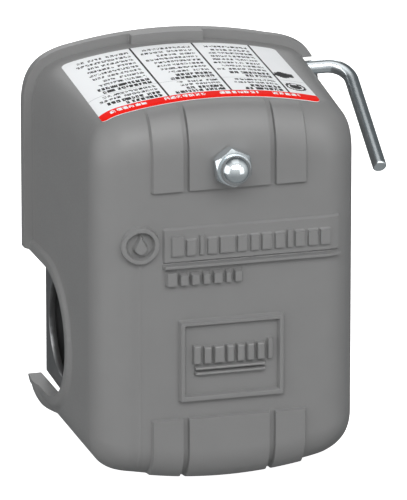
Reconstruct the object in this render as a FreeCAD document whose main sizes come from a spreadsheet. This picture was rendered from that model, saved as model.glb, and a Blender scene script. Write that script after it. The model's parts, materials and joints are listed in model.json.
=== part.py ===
import FreeCAD, Part
import math
import os
import re
import Sketcher

# Pressure switch for a water pump, in millimetres.
# Origin: centre of the pressure port's mouth. +Y points out of the port, -Y is the
# cover's front face, +Z is up and +X is the side that the cut-off lever leaves by.
# "Depth" is a distance forward (-Y) from the cover rim's plane.

SIZES = {
    # pressure port and diaphragm housing
    "port_radius": 5.7,
    "port_thread": 14,
    "passage_radius": 4,
    "neck_flats": 22.2,
    "neck_length": 10,
    "bowl_rear_radius": 13,
    "bowl_front_radius": 22.5,
    "flange_half": 25,
    "flange_thickness": 4,
    "flange_corner": 6,
    "flange_front": 30.5,
    "chamber_radius": 15,
    "chamber_depth": 3,
    "housing_screw_place": 19.5,
    "housing_screw_radius": 2,
    "housing_head_radius": 4,
    "housing_head_height": 3,
    # base plate
    "rim": 32,
    "far_edge": 70,
    "upper_half": 20,
    "sheet": 1.6,
    "plate_half": 29,
    "plate_top": 32,
    "plate_top_half": 20,
    "plate_shoulder": 22,
    "plate_bottom": 40.7,
    "plate_opening": 15,
    "ear_front": 30.4,
    "ear_top": 10,
    "ear_corner": 8,
    "conduit_radius": 11.25,
    "conduit_depth": 14.1,
    "conduit_drop": 25.9,
    "lug_reach": 4,
    "ground_place": 24.4,
    "ground_drop": 4,
    "ground_hole_radius": 2,
    "ground_shank_radius": 1.9,
    "ground_head_radius": 3.2,
    "ground_slot_half": 2.6,
    "ground_slot_width": 0.8,
    "small_head_height": 2.2,
    "fixing_place": 11,
    "fixing_drop": 31,
    "fixing_hole_radius": 1.9,
    "fixing_shank_radius": 1.8,
    "fixing_head_radius": 3.4,
    "fixing_shank_length": 10,
    "pin_head_step": 0.9,
    "pin_overhang": 0.4,
    "crank_clearance": 0.7,
    "crank_slot_drop": 3.4,
    # cover
    "cover_depth": 52.5,
    "cover_half_rear": 32.8,
    "cover_half_front": 30.3,
    "cover_top_rear": 36.9,
    "cover_top_front": 36.4,
    "cover_bottom_rear": 53,
    "cover_bottom_front": 52.4,
    "cover_wall": 2,
    "cover_round": 9.2,
    "top_corner_rear": 9.6,
    "top_corner_front": 10,
    "bottom_corner_rear": 13,
    "bottom_corner_front": 10.2,
    "top_arch_angle": 14.5,
    "bottom_arch_angle": 13,
    "lip_step": 2,
    "lip_thickness": 2.5,
    "rim_tab_left": 10,
    "rim_tab_right": 7,
    "rim_tab_front": 4.2,
    "pad_height": 0.8,
    "pad_centre_half": 9.3,
    "pad_side_inner": 10.5,
    "pad_side_outer": 17.6,
    "pad_upper_edge": 17.5,
    "pad_lower_edge": 35.7,
    "arch_half": 15.2,
    "collar_width": 2.2,
    "relief": 0.6,
    "panel_left": 15,
    "panel_right": 25.5,
    "panel_bottom": 0.8,
    "panel_top": 8.8,
    "stripe_bottom": 0.5,
    "stripe_top": 0.3,
    "badge_left": 11.4,
    "badge_right": 12.9,
    "badge_bottom": 32.6,
    "badge_top": 13.9,
    "badge_border": 1.25,
    "mark_left": 8.3,
    "mark_right": 11,
    "mark_bottom": 27,
    "mark_top": 19.3,
    "ring_place": 20.3,
    "ring_height": 5,
    "ring_outer_radius": 4.2,
    "ring_inner_radius": 3.1,
    "drop_radius": 1.9,
    "drop_tip_radius": 1.2,
    "notch_radius": 2.1,
    "notch_start": 20,
    "stud_hole_gap": 0.3,
    "rib_half": 0.8,
    "rib_front": 14,
    "upper_rib_place": 12,
    "upper_rib_bottom": 31,
    "lower_rib_place": 18,
    "lower_rib_top": 39,
    "slot_edge_gap": 0.3,
    "label_left": 26.5,
    "label_right": 24,
    "label_rear": 7,
    "label_front": 42,
    "label_thickness": 0.15,
    # studs, springs and nuts
    "stud_height": 23,
    "range_thread_radius": 3.1,
    "range_thread_end": 39,
    "tip_radius": 2.05,
    "tip_end": 58.6,
    "stud_collar_radius": 5,
    "stud_collar_height": 2,
    "nut_flats": 7.94,
    "nut_hex_height": 3.6,
    "dome_radius": 3.4,
    "dome_centre": 4.3,
    "running_gap": 0.06,
    "rest_gap": 0.05,
    "seat_radius": 10,
    "seat_thickness": 1.2,
    "range_spring_radius": 8.4,
    "range_wire": 2.2,
    "range_turns": 5,
    "range_seat_depth": 26,
    "range_seat_thickness": 1.6,
    "range_nut_flats": 11.1,
    "range_nut_height": 5.5,
    "differential_side": 22.3,
    "differential_height": 8,
    "shoulder_radius": 3.2,
    "shoulder_depth": 8.6,
    "differential_thread_radius": 2.4,
    "differential_thread_end": 31,
    "differential_washer_radius": 5.8,
    "differential_spring_radius": 4.6,
    "differential_wire": 1.2,
    "differential_turns": 6,
    "differential_nut_depth": 21.6,
    "differential_nut_flats": 9.5,
    "differential_nut_height": 4.5,
    "seat_spigot_height": 1.4,
    "spring_spigot_gap": 0.3,
    "seat_hole_gap": 1.4,
    # operating beam and piston
    "beam_depth": 5.6,
    "beam_half": 15.5,
    "beam_top": 30,
    "beam_bottom": 17,
    "beam_flange": 5.3,
    "beam_pivot_depth": 9,
    "beam_pivot_drop": 13,
    "beam_pin_radius": 1.5,
    "lug_half": 17.6,
    "piston_radius": 12,
    "piston_height": 3,
    "piston_tip_radius": 1,
    "piston_nose_radius": 4,
    "beam_tab": 5,
    "beam_tab_half": 6.5,
    "beam_stud_gap": 1.4,
    "beam_shoulder_gap": 0.8,
    "flange_step": 6,
    "flange_slope": 12,
    "flange_narrow": 0.6,
    # contact block and carrier
    "block_half": 22,
    "block_front": 24,
    "block_top": 18,
    "block_bottom": 38,
    "block_lug": 2,
    "block_lug_half": 4,
    "barrier_half": 0.8,
    "barrier_front": 5.5,
    "barrier_top_gap": 4.5,
    "relief_place": 15,
    "relief_half": 8,
    "relief_rear_gap": 4,
    "relief_front_gap": 5,
    "relief_top": 17,
    "relief_bottom": 25,
    "terminal_hole_depth": 8,
    "carrier_depth": 18,
    "carrier_drop": 10,
    "carrier_half": 19.4,
    "carrier_pin_radius": 1.25,
    "carrier_plate_depth": 31,
    "carrier_plate_bottom": 24.5,
    "carrier_plate_thickness": 2,
    "carrier_bar_half": 3,
    "carrier_arm_half": 1.5,
    "carrier_arm_top": 1,
    "horn_half": 3.5,
    "horn_depth_half": 2,
    "horn_top": 3.2,
    "post_radius": 1.1,
    "post_start": 2.4,
    "pole_pitch": 11,
    "strip_half": 4,
    "strip_thickness": 1,
    "strip_top": 18.5,
    "tip_disc_radius": 1.8,
    "tip_disc_height": 1,
    "contact_drop": 21,
    "bridge_half": 7.8,
    "bridge_thickness": 0.8,
    "bridge_height_half": 2.2,
    "bridge_hole_radius": 1.3,
    "bridge_spring_radius": 2.3,
    "bridge_spring_bore": 1.6,
    "terminal_drop": 32,
    "terminal_screw_radius": 1.9,
    "terminal_head_radius": 3.5,
    "terminal_head_height": 2.6,
    "clamp_thickness": 1.2,
    "clamp_half": 4,
    "clamp_side_gap": 0.2,
    "terminal_slot_depth": 1.1,
    "terminal_slot_half": 0.5,
    "terminal_shank_depth": 7,
    "toggle_spring_radius": 2.1,
    "toggle_wire": 0.7,
    "toggle_turns": 6,
    # cut-off lever
    "lever_height": 27.7,
    "lever_depth": 3.5,
    "lever_radius": 1.59,
    "lever_inner_end": 16,
    "lever_outer": 40.7,
    "lever_bend": 5,
    "lever_arm": 31.8,
    "lever_angle": 29.7,
    "bracket_inner": 16.5,
    "bracket_outer": 25,
    "bracket_sheet": 1.5,
    "bracket_bottom": 20,
    "bracket_foot_thickness": 1.2,
    "bracket_front": 9,
    "bracket_top": 2.8,
    "crank_place": 20.5,
    "crank_thickness": 1.5,
    "crank_length": 19,
    "crank_drop": 8,
    "crank_hub_radius": 3.4,
    "crank_half": 2.2,
    "hub_fit": 0.01,
    "return_wire": 0.6,
    "clip_radius": 2.6,
    "clip_thickness": 0.7,
    "clip_mouth_half": 1.1,
    "clip_mouth_top": 0.5,
    "clip_gap": 0.1,
}

X_AXIS = FreeCAD.Vector(1, 0, 0)
Y_AXIS = FreeCAD.Vector(0, 1, 0)
FORWARD = FreeCAD.Rotation(X_AXIS, 90)
ACROSS = FreeCAD.Rotation(Y_AXIS, 90)
UPRIGHT = FreeCAD.Rotation()
SIDES = (("left", -1), ("right", 1))

doc = FreeCAD.newDocument("pressure_switch")
sheet = doc.addObject("Spreadsheet::Sheet", "Sizes")
for row, (word, number) in enumerate(SIZES.items(), start=1):
    sheet.set(f"A{row}", word)
    sheet.set(f"B{row}", str(number))
    sheet.setAlias(f"B{row}", word)
doc.recompute()

subparts = {}


# ---------------------------------------------------------------- helpers

def size(word):
    """A driving dimension, read from the sheet."""
    return float(sheet.get(word))


def bound(text):
    """An expression whose words are read from the sheet."""
    return re.sub(r"[a-z_]+", lambda m: "Sizes." + m[0] if m[0] in SIZES else m[0], text)


def front(depth):
    """The Y coordinate at a depth forward of the cover rim's plane."""
    return f"-rim - ({depth})"


def bind(thing, **properties):
    for name, text in properties.items():
        thing.setExpression(name, bound(text))
    return thing


def place(thing, at, turn=UPRIGHT):
    thing.Placement = FreeCAD.Placement(FreeCAD.Vector(), turn)
    for letter, text in zip("xyz", at):
        thing.setExpression(f"Placement.Base.{letter}", bound(text))
    return thing


def node(name, thing):
    """Names a finished sub-part."""
    thing.Label = name
    subparts[name] = thing
    return thing


def block(name, x, y, z):
    """A box between pairs of coordinates, each pair low then high."""
    box = doc.addObject("Part::Box", name)
    bind(box, Length=f"({x[1]}) - ({x[0]})", Width=f"({y[1]}) - ({y[0]})",
         Height=f"({z[1]}) - ({z[0]})")
    return place(box, (x[0], y[0], z[0]))


def layer(name, x, depth, z):
    """A box between two depths, the nearer to the rim first."""
    return block(name, x, (front(depth[1]), front(depth[0])), z)


def rod(name, radius, length, start, turn=FORWARD):
    cylinder = doc.addObject("Part::Cylinder", name)
    bind(cylinder, Radius=radius, Height=length)
    return place(cylinder, start, turn)


def cone(name, radius, far_radius, length, start, turn=FORWARD):
    tapered = doc.addObject("Part::Cone", name)
    bind(tapered, Radius1=radius, Radius2=far_radius, Height=length)
    return place(tapered, start, turn)


def hexagon(name, flats, length, start, turn=FORWARD):
    prism = doc.addObject("Part::Prism", name)
    prism.Polygon = 6
    bind(prism, Circumradius=f"({flats}) / sqrt(3)", Height=length)
    return place(prism, start, turn)


def fuse(name, *pieces):
    if len(pieces) == 1:
        return pieces[0]
    joined = doc.addObject("Part::MultiFuse", name)
    joined.Shapes = list(pieces)
    joined.Refine = True
    return joined


def cut(name, base, *tools):
    rest = doc.addObject("Part::Cut", name)
    rest.Base = base
    rest.Tool = fuse(name + "_tools", *tools)
    rest.Refine = True
    return rest


def common(name, first, second):
    shared = doc.addObject("Part::Common", name)
    shared.Base = first
    shared.Tool = second
    shared.Refine = True
    return shared


def group(name, *solids):
    """Separate solids kept side by side in one compound."""
    several = doc.addObject("Part::Compound", name)
    several.Links = list(solids)
    return several


def new_body(name):
    return doc.addObject("PartDesign::Body", name)


def new_sketch(body, name, role, offset):
    sketch = body.newObject("Sketcher::SketchObject", name)
    plane = next(p for p in body.Origin.OriginFeatures if p.Role == role)
    sketch.AttachmentSupport = [(plane, "")]
    sketch.MapMode = "FlatFace"
    sketch.setExpression("AttachmentOffset.Base.z", bound(offset))
    return sketch


def pin_point(sketch, curve, end, place_texts):
    """Fixes one point of a sketch at a pair of expressions."""
    for kind, text in zip(("DistanceX", "DistanceY"), place_texts):
        index = sketch.addConstraint(Sketcher.Constraint(kind, curve, end, 1.0))
        sketch.setExpression(f"Constraints[{index}]", bound(text))


def polygon(sketch, points):
    """A closed outline through points that are pairs of expressions."""
    count = len(points)
    turn = 2 * math.pi / count
    corners = [FreeCAD.Vector(10 * math.cos(i * turn), 10 * math.sin(i * turn), 0)
               for i in range(count)]
    lines = [Part.LineSegment(corners[i], corners[(i + 1) % count]) for i in range(count)]
    first = sketch.addGeometry(lines, False)[0]
    for i in range(count):
        after = first + (i + 1) % count
        sketch.addConstraint(Sketcher.Constraint("Coincident", first + i, 2, after, 1))
    for i, point in enumerate(points):
        pin_point(sketch, first + i, 1, point)
    return sketch


def circle(sketch, centre, radius):
    ring = Part.Circle(FreeCAD.Vector(), FreeCAD.Vector(0, 0, 1), 1.0)
    index = sketch.addGeometry(ring, False)
    pin_point(sketch, index, 3, centre)
    limit = sketch.addConstraint(Sketcher.Constraint("Radius", index, 1.0))
    sketch.setExpression(f"Constraints[{limit}]", bound(radius))
    return sketch


def feature(body, kind, name, profile, **properties):
    made = body.newObject(f"PartDesign::{kind}", name)
    made.Profile = profile
    bind(made, **properties)
    return made


def round_edges(body, name, base, radius, chosen):
    """A fillet on the base feature's edges that the test chooses."""
    doc.recompute()
    edges = [f"Edge{i}" for i, e in enumerate(base.Shape.Edges, start=1) if chosen(e)]
    fillet = body.newObject("PartDesign::Fillet", name)
    fillet.Base = (base, edges)
    return bind(fillet, Radius=radius)


def runs_along(edge, axis):
    ends = [v.Point for v in edge.Vertexes]
    if len(ends) != 2 or edge.Curve.TypeId != "Part::GeomLine":
        return False
    return abs((ends[1] - ends[0]).normalize().dot(axis)) > 0.999


# ---------------------------------------------------------------- housing

def make_housing():
    mouth = ("0", "0", "0")
    neck = hexagon("neck_hex", "neck_flats", "neck_length", mouth)
    taper = cone("neck_taper", "neck_flats * 0.5", "neck_flats * 0.6", "neck_length", mouth)
    bowl = cone("bowl", "bowl_rear_radius", "bowl_front_radius",
                "flange_front - flange_thickness - neck_length + 0.5",
                ("0", "-neck_length + 0.5", "0"))
    flange_body = new_body("flange")
    outline = new_sketch(flange_body, "flange_outline", "XZ_Plane",
                         "flange_front - flange_thickness")
    corner_signs = ((-1, -1), (1, -1), (1, 1), (-1, 1))
    polygon(outline, [(f"{a} * flange_half", f"{b} * flange_half") for a, b in corner_signs])
    pad = feature(flange_body, "Pad", "flange_pad", outline, Length="flange_thickness")
    round_edges(flange_body, "flange_corners", pad, "flange_corner",
                lambda e: runs_along(e, Y_AXIS))
    thread = rod("port_bore", "port_radius", "port_thread", mouth)
    passage = rod("passage", "passage_radius", "flange_front", mouth)
    chamber = rod("chamber", "chamber_radius", "chamber_depth",
                  ("0", "-flange_front + chamber_depth", "0"))
    hexed = common("neck", neck, taper)
    solid = fuse("housing_solid", hexed, bowl, flange_body)
    node("diaphragm_housing", cut("housing", solid, thread, passage, chamber,
                                  *screw_holes("housing_hole", "flange_front")))

    disc_body = new_body("diaphragm_body")
    disc = new_sketch(disc_body, "diaphragm_outline", "XZ_Plane", "flange_front")
    polygon(disc, [(f"{a} * flange_half", f"{b} * flange_half") for a, b in corner_signs])
    sheet_pad = feature(disc_body, "Pad", "diaphragm_pad", disc, Length="rim - flange_front")
    round_edges(disc_body, "diaphragm_corners", sheet_pad, "flange_corner",
                lambda e: runs_along(e, Y_AXIS))
    node("diaphragm", cut("diaphragm_sheet", disc_body,
                          *screw_holes("diaphragm_hole", "rim + sheet")))

    screws = []
    for i, (a, b) in enumerate(((-1, -1), (1, -1), (1, 1), (-1, 1)), start=1):
        x = f"{a} * housing_screw_place"
        z = f"{b} * housing_screw_place"
        head = hexagon(f"housing_head_{i}", "housing_head_radius * sqrt(3)",
                       "housing_head_height",
                       (x, "-flange_front + flange_thickness + housing_head_height", z))
        shank = rod(f"housing_shank_{i}", "housing_screw_radius",
                    "rim + sheet - flange_front + flange_thickness + 1",
                    (x, "-flange_front + flange_thickness + 1", z))
        screws.append(fuse(f"housing_screw_{i}", head, shank))
    node("housing_screws", group("housing_screw_group", *screws))


def screw_holes(name, length):
    """The four clearance holes for the housing screws."""
    holes = []
    for i, (a, b) in enumerate(((-1, -1), (1, -1), (1, 1), (-1, 1)), start=1):
        start = (f"{a} * housing_screw_place", "0", f"{b} * housing_screw_place")
        holes.append(rod(f"{name}_{i}", "housing_screw_radius + running_gap",
                         f"{length} + 1", start))
    return holes


# ---------------------------------------------------------------- base plate

def make_base():
    body = new_body("base_body")
    outline = new_sketch(body, "plate_outline", "XZ_Plane", "rim")
    polygon(outline, [("-plate_half", "-plate_bottom"), ("plate_half", "-plate_bottom"),
                      ("plate_half", "plate_shoulder"), ("plate_top_half", "plate_top"),
                      ("-plate_top_half", "plate_top"), ("-plate_half", "plate_shoulder")])
    plate = feature(body, "Pad", "plate", outline, Length="sheet")
    opening = new_sketch(body, "plate_opening_outline", "XZ_Plane", "rim")
    circle(opening, ("0", "0"), "plate_opening")
    feature(body, "Pocket", "piston_opening", opening, Length="sheet").Reversed = True
    for side, sign in SIDES:
        ear = new_sketch(body, f"ear_{side}_outline", "YZ_Plane",
                         f"{sign} * (plate_half - sheet / 2) - sheet / 2")
        polygon(ear, [("-rim", "-plate_bottom"), ("-rim - ear_front", "-plate_bottom"),
                      ("-rim - ear_front", "-ear_top"), ("-rim", "-ear_top")])
        feature(body, "Pad", f"ear_{side}", ear, Length="sheet")
        lug = new_sketch(body, f"lug_{side}_outline", "YZ_Plane",
                         f"{sign} * (lug_half - sheet / 2) - sheet / 2")
        polygon(lug, [("-rim", "-beam_pivot_drop - lug_reach"),
                      ("-rim - beam_pivot_depth - lug_reach", "-beam_pivot_drop - lug_reach"),
                      ("-rim - beam_pivot_depth - lug_reach", "-beam_pivot_drop + lug_reach"),
                      ("-rim", "-beam_pivot_drop + lug_reach")])
        last = feature(body, "Pad", f"lug_{side}", lug, Length="sheet")
    front_line = -size("rim") - size("ear_front")
    round_edges(body, "ear_corners", last, "ear_corner",
                lambda e: runs_along(e, X_AXIS)
                and abs(e.Vertexes[0].Point.y - front_line) < 0.01)
    conduit = rod("conduit_holes", "conduit_radius", "2 * plate_half + 2",
                  ("-plate_half - 1", front("conduit_depth"), "-conduit_drop"), ACROSS)
    pin = rod("lug_holes", "beam_pin_radius + running_gap", "2 * lug_half + 2",
              ("-lug_half - 1", front("beam_pivot_depth"), "-beam_pivot_drop"), ACROSS)
    stud = rod("stud_hole", "range_thread_radius + running_gap", "sheet + 1",
               ("0", "-rim + 0.5", "stud_height"))
    second = rod("second_stud_hole", "differential_thread_radius + running_gap", "sheet + 1",
                 ("-differential_side", "-rim + 0.5", "differential_height"))
    crank_notch = layer("crank_notch", ("bracket_inner + bracket_sheet",
                                        "crank_place + crank_thickness + crank_clearance"),
                        ("-1", "3"), ("lever_height - crank_slot_drop", "far_edge"))
    screws = [rod(f"ground_hole_{side}", "ground_hole_radius", "sheet + 1",
                  (f"{sign} * ground_place", "-rim + 0.5", "-ground_drop"))
              for side, sign in SIDES]
    fixings = [rod(f"block_hole_{side}", "fixing_hole_radius", "sheet + 1",
                   (f"{sign} * fixing_place", "-rim + 0.5", "-fixing_drop"))
               for side, sign in SIDES]
    node("base_frame", cut("base", body, conduit, pin, stud, second, crank_notch, *screws,
                           *fixings, *screw_holes("plate_hole", "rim + sheet")))

    pivot = ("-lug_half - pin_overhang", front("beam_pivot_depth"), "-beam_pivot_drop")
    pin_rod = rod("beam_pin_rod", "beam_pin_radius", "2 * (lug_half + pin_overhang)", pivot, ACROSS)
    pin_head = rod("beam_pin_head", "beam_pin_radius + pin_head_step", "2 * pin_overhang",
                   ("lug_half", front("beam_pivot_depth"), "-beam_pivot_drop"), ACROSS)
    node("beam_pivot_pin", fuse("beam_pin", pin_rod, pin_head))

    grounds = []
    fixing_screws = []
    for side, sign in SIDES:
        x = f"{sign} * ground_place"
        ground_head = rod(f"ground_head_{side}", "ground_head_radius", "small_head_height",
                          (x, front("sheet"), "-ground_drop"))
        slot = layer(f"ground_slot_{side}",
                     (f"{x} - ground_slot_half", f"{x} + ground_slot_half"),
                     ("sheet + small_head_height - 1", "sheet + 3"),
                     ("-ground_drop - ground_slot_width / 2",
                      "-ground_drop + ground_slot_width / 2"))
        ground_shank = rod(f"ground_shank_{side}", "ground_shank_radius", "sheet + 1",
                           (x, front("0"), "-ground_drop"))
        ground = fuse(f"ground_{side}", ground_head, ground_shank)
        grounds.append(cut(f"ground_screw_{side}", ground, slot))
        x = f"{sign} * fixing_place"
        head = rod(f"fixing_head_{side}", "fixing_head_radius", "small_head_height",
                   (x, "-rim + small_head_height", "-fixing_drop"))
        shank = rod(f"fixing_shank_{side}", "fixing_shank_radius", "fixing_shank_length",
                    (x, "-rim + 1", "-fixing_drop"))
        fixing_screws.append(fuse(f"fixing_{side}", head, shank))
    node("ground_screws", group("ground_group", *grounds))
    node("block_screws", group("fixing_group", *fixing_screws))


# ---------------------------------------------------------------- cover

def cover_outline(sketch, end, grow):
    """The cover's section: straight sides, arched top and bottom, four round corners."""
    half = size(f"cover_half_{end}") + size_sum(grow)
    half_text = f"cover_half_{end} + ({grow})"
    sides = []
    for name, sign in (("top", 1), ("bottom", -1)):
        level = sign * (size(f"cover_{name}_{end}") + size_sum(grow))
        corner = size(f"{name}_corner_{end}") + size_sum(grow)
        angle = math.radians(size(f"{name}_arch_angle"))
        arch = corner + (half - corner) / math.sin(angle)
        centre = FreeCAD.Vector(0, level - sign * arch, 0)
        sides.append((name, sign, corner, angle, arch, centre))
    normal = FreeCAD.Vector(0, 0, 1)
    (_, _, top_r, top_a, top_arch, top_c), (_, _, low_r, low_a, low_arch, low_c) = sides
    quarter = math.pi / 2
    top_z = top_c.y + (top_arch - top_r) * math.cos(top_a)
    low_z = low_c.y - (low_arch - low_r) * math.cos(low_a)

    def arc(centre, radius, start, stop):
        ring = Part.Circle(centre, normal, radius)
        return Part.ArcOfCircle(ring, start, stop)

    curves = [
        Part.LineSegment(FreeCAD.Vector(half, low_z, 0), FreeCAD.Vector(half, top_z, 0)),
        arc(FreeCAD.Vector(half - top_r, top_z, 0), top_r, 0, quarter - top_a),
        arc(top_c, top_arch, quarter - top_a, quarter + top_a),
        arc(FreeCAD.Vector(top_r - half, top_z, 0), top_r, quarter + top_a, math.pi),
        Part.LineSegment(FreeCAD.Vector(-half, top_z, 0), FreeCAD.Vector(-half, low_z, 0)),
        arc(FreeCAD.Vector(low_r - half, low_z, 0), low_r, math.pi, 3 * quarter - low_a),
        arc(low_c, low_arch, 3 * quarter - low_a, 3 * quarter + low_a),
        arc(FreeCAD.Vector(half - low_r, low_z, 0), low_r, 3 * quarter + low_a, 4 * quarter),
    ]
    first = sketch.addGeometry(curves, False)[0]
    for i in range(8):
        after = first + (i + 1) % 8
        sketch.addConstraint(Sketcher.Constraint("Tangent", first + i, 2, after, 1))

    def drive(kind, *where, text):
        index = sketch.addConstraint(Sketcher.Constraint(kind, *where))
        sketch.setExpression(f"Constraints[{index}]", bound(text))

    drive("DistanceX", first, 1, half, text=half_text)
    drive("DistanceX", first + 4, 1, -half, text=f"-({half_text})")
    for corner, name, radius in ((1, "top", top_r), (3, "top", top_r),
                                 (5, "bottom", low_r), (7, "bottom", low_r)):
        drive("Radius", first + corner, radius, text=f"{name}_corner_{end} + ({grow})")
    for crown, name, sign, radius, centre in ((2, "top", 1, top_arch, top_c),
                                              (6, "bottom", -1, low_arch, low_c)):
        sketch.addConstraint(Sketcher.Constraint("PointOnObject", first + crown, 3, -2))
        arch_text = (f"({name}_corner_{end} + ({grow}) + (cover_half_{end} - {name}_corner_{end})"
                     f" / sin({name}_arch_angle * 1deg))")
        drive("Radius", first + crown, radius, text=arch_text)
        drive("DistanceY", first + crown, 3, centre.y,
              text=f"{sign} * (cover_{name}_{end} + ({grow})) - {sign} * {arch_text}")
    return sketch


def size_sum(grow):
    """The number for how far an outline grows: a sheet word, or minus one."""
    if grow == "0":
        return 0.0
    return -size(grow[1:]) if grow.startswith("-") else size(grow)


def cover_form(name, grow):
    """The cover's outer form, grown outward all round by one amount."""
    body = new_body(name)
    rear = new_sketch(body, name + "_rear", "XZ_Plane", "rim")
    cover_outline(rear, "rear", grow)
    face = new_sketch(body, name + "_face", "XZ_Plane", f"rim + cover_depth + ({grow})")
    cover_outline(face, "front", grow)
    loft = body.newObject("PartDesign::AdditiveLoft", name + "_loft")
    loft.Profile = rear
    loft.Sections = [face]
    loft.Ruled = True
    face_plane = -size("rim") - size("cover_depth") - size_sum(grow)
    round_edges(body, name + "_round", loft, f"cover_round + ({grow})",
                lambda e: all(abs(v.Point.y - face_plane) < 0.01 for v in e.Vertexes))
    return body


def arch_slot(name, grow, reach):
    """A through slot over both conduit holes, open to the rear."""
    half = f"(arch_half + ({grow}))"
    straight = layer(name + "_straight", (f"-{reach}", reach), ("-1", "conduit_depth"),
                     (f"-conduit_drop - {half}", f"-conduit_drop + {half}"))
    nose = rod(name + "_nose", half, f"2 * ({reach})",
               (f"-{reach}", front("conduit_depth"), "-conduit_drop"), ACROSS)
    return fuse(name, straight, nose)


def make_cover():
    outer = cover_form("outer_form", "0")
    inner = cover_form("inner_form", "-cover_wall")
    raised = cover_form("raised_form", "pad_height")
    labelled = cover_form("label_form", "label_thickness")

    bars = []
    edges = (("centre", "-pad_centre_half", "pad_centre_half"),
             ("left", "-pad_side_outer", "-pad_side_inner"),
             ("right", "pad_side_inner", "pad_side_outer"))
    for name, low, high in edges:
        bars.append(layer(f"upper_pad_{name}", (low, high), ("label_front", "far_edge"),
                          ("pad_upper_edge", "far_edge")))
        bars.append(layer(f"lower_pad_{name}", (low, high), ("label_front", "far_edge"),
                          ("-far_edge", "-pad_lower_edge")))
    collar_zone = arch_slot("collar_zone", "collar_width", "far_edge")
    pads = common("pads", raised, fuse("pad_bars", *bars, collar_zone))

    lip_body = new_body("lip_body")
    lip_sketch = new_sketch(lip_body, "lip_outline", "XZ_Plane", "rim")
    cover_outline(lip_sketch, "rear", "lip_step")
    feature(lip_body, "Pad", "lip_pad", lip_sketch, Length="rim_tab_front")
    lip_zone = layer("lip_zone", ("-far_edge", "far_edge"), ("-1", "lip_thickness"),
                     ("-conduit_drop + arch_half + slot_edge_gap", "far_edge"))
    tab_zone = layer("tab_zone", ("-rim_tab_left", "rim_tab_right"), ("-1", "10"),
                     ("upper_half", "far_edge"))
    lip = common("lip", lip_body, fuse("lip_zones", lip_zone, tab_zone))

    face = front("cover_depth")
    proud = "-rim - cover_depth - relief"

    def raised_box(name, x, z):
        return block(name, x, (proud, face + " + 0.5"), z)

    panel = raised_box("name_panel", ("-panel_left", "panel_right"),
                       ("panel_bottom", "panel_top"))
    stripe = raised_box("name_stripe", ("-panel_left", "panel_right"),
                        ("-stripe_bottom", "stripe_top"))
    frame_box = raised_box("badge_frame", ("-badge_left", "badge_right"),
                           ("-badge_bottom", "-badge_top"))
    frame_well = block("badge_well",
                       ("-badge_left + badge_border", "badge_right - badge_border"),
                       ("-rim - cover_depth - 5", face),
                       ("-badge_bottom + badge_border", "-badge_top - badge_border"))
    badge = cut("badge", frame_box, frame_well)
    mark = raised_box("badge_mark", ("-mark_left", "mark_right"),
                      ("-mark_bottom", "-mark_top"))
    ring_centre = ("-ring_place", face + " + 0.5", "ring_height")
    ring_outer = rod("ring_outer", "ring_outer_radius", "relief + 0.5", ring_centre)
    ring_inner = rod("ring_inner", "ring_inner_radius", "5",
                     ("-ring_place", face, "ring_height"))
    ring = cut("ring", ring_outer, ring_inner)
    drop = cone("drop_mark", "drop_radius", "drop_tip_radius", "relief + 0.5", ring_centre)

    solid = fuse("cover_solid", outer, pads, lip, panel, stripe, badge, mark, ring,
                 drop)
    stud_hole = rod("cover_stud_hole", "tip_radius + stud_hole_gap", "20",
                    ("0", front("cover_depth - 10"), "stud_height"))
    notch = layer("lever_notch", ("notch_start", "far_edge"), ("-1", "lever_depth"),
                  ("lever_height - notch_radius", "lever_height + notch_radius"))
    notch_nose = rod("lever_notch_nose", "notch_radius", "far_edge - notch_start",
                     ("notch_start", front("lever_depth"), "lever_height"), ACROSS)
    shell = cut("cover_shell", solid, inner, arch_slot("arches", "0", "far_edge"), stud_hole,
                notch, notch_nose)
    ribs = []
    for side, sign in SIDES:
        x = f"{sign} * upper_rib_place"
        ribs.append(layer(f"upper_rib_{side}", (f"{x} - rib_half", f"{x} + rib_half"),
                          ("sheet + rest_gap", "rib_front"),
                          ("upper_rib_bottom", "far_edge")))
        x = f"{sign} * lower_rib_place"
        ribs.append(layer(f"lower_rib_{side}", (f"{x} - rib_half", f"{x} + rib_half"),
                          ("sheet + rest_gap", "rib_front"),
                          ("-far_edge", "-lower_rib_top")))
    rib_solid = common("ribs", outer, fuse("rib_boxes", *ribs))
    node("cover", fuse("cover_whole", shell, rib_solid))

    skin = cut("label_skin", labelled, outer)
    zone = layer("label_zone", ("-label_left", "label_right"), ("label_rear", "label_front"),
                 ("upper_half", "far_edge"))
    node("warning_label", common("label", skin, zone))

    turned = FORWARD.multiply(FreeCAD.Rotation(FreeCAD.Vector(0, 0, 1), 30))
    seat_depth = "cover_depth + pad_height + rest_gap"
    seat = ("0", front(seat_depth), "stud_height")
    hexed = hexagon("cap_hex", "nut_flats", "nut_hex_height", seat, turned)
    bevel = cone("cap_bevel", "nut_flats / 2 + 1.6", "nut_flats / 2 - 0.1",
                 "nut_hex_height", seat)
    foot = cone("cap_foot", "nut_flats / 2 + 0.1", "nut_flats / 2 + 5",
                "nut_hex_height", seat)
    body = common("cap_body", common("cap_bevelled", hexed, bevel), foot)
    dome = doc.addObject("Part::Sphere", "cap_dome")
    bind(dome, Radius="dome_radius")
    place(dome, ("0", front(f"{seat_depth} + dome_centre"), "stud_height"))
    dome_zone = rod("cap_dome_zone", "dome_radius + 1", "20",
                    ("0", front(f"{seat_depth} + nut_hex_height - 0.6"), "stud_height"))
    top = common("cap_top", dome, dome_zone)
    bore = rod("cap_bore", "tip_radius + running_gap", "tip_end - cover_depth + 0.2", seat)
    node("cover_nut", cut("cap", fuse("cap_solid", body, top), bore))


# ---------------------------------------------------------------- studs and springs

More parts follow.
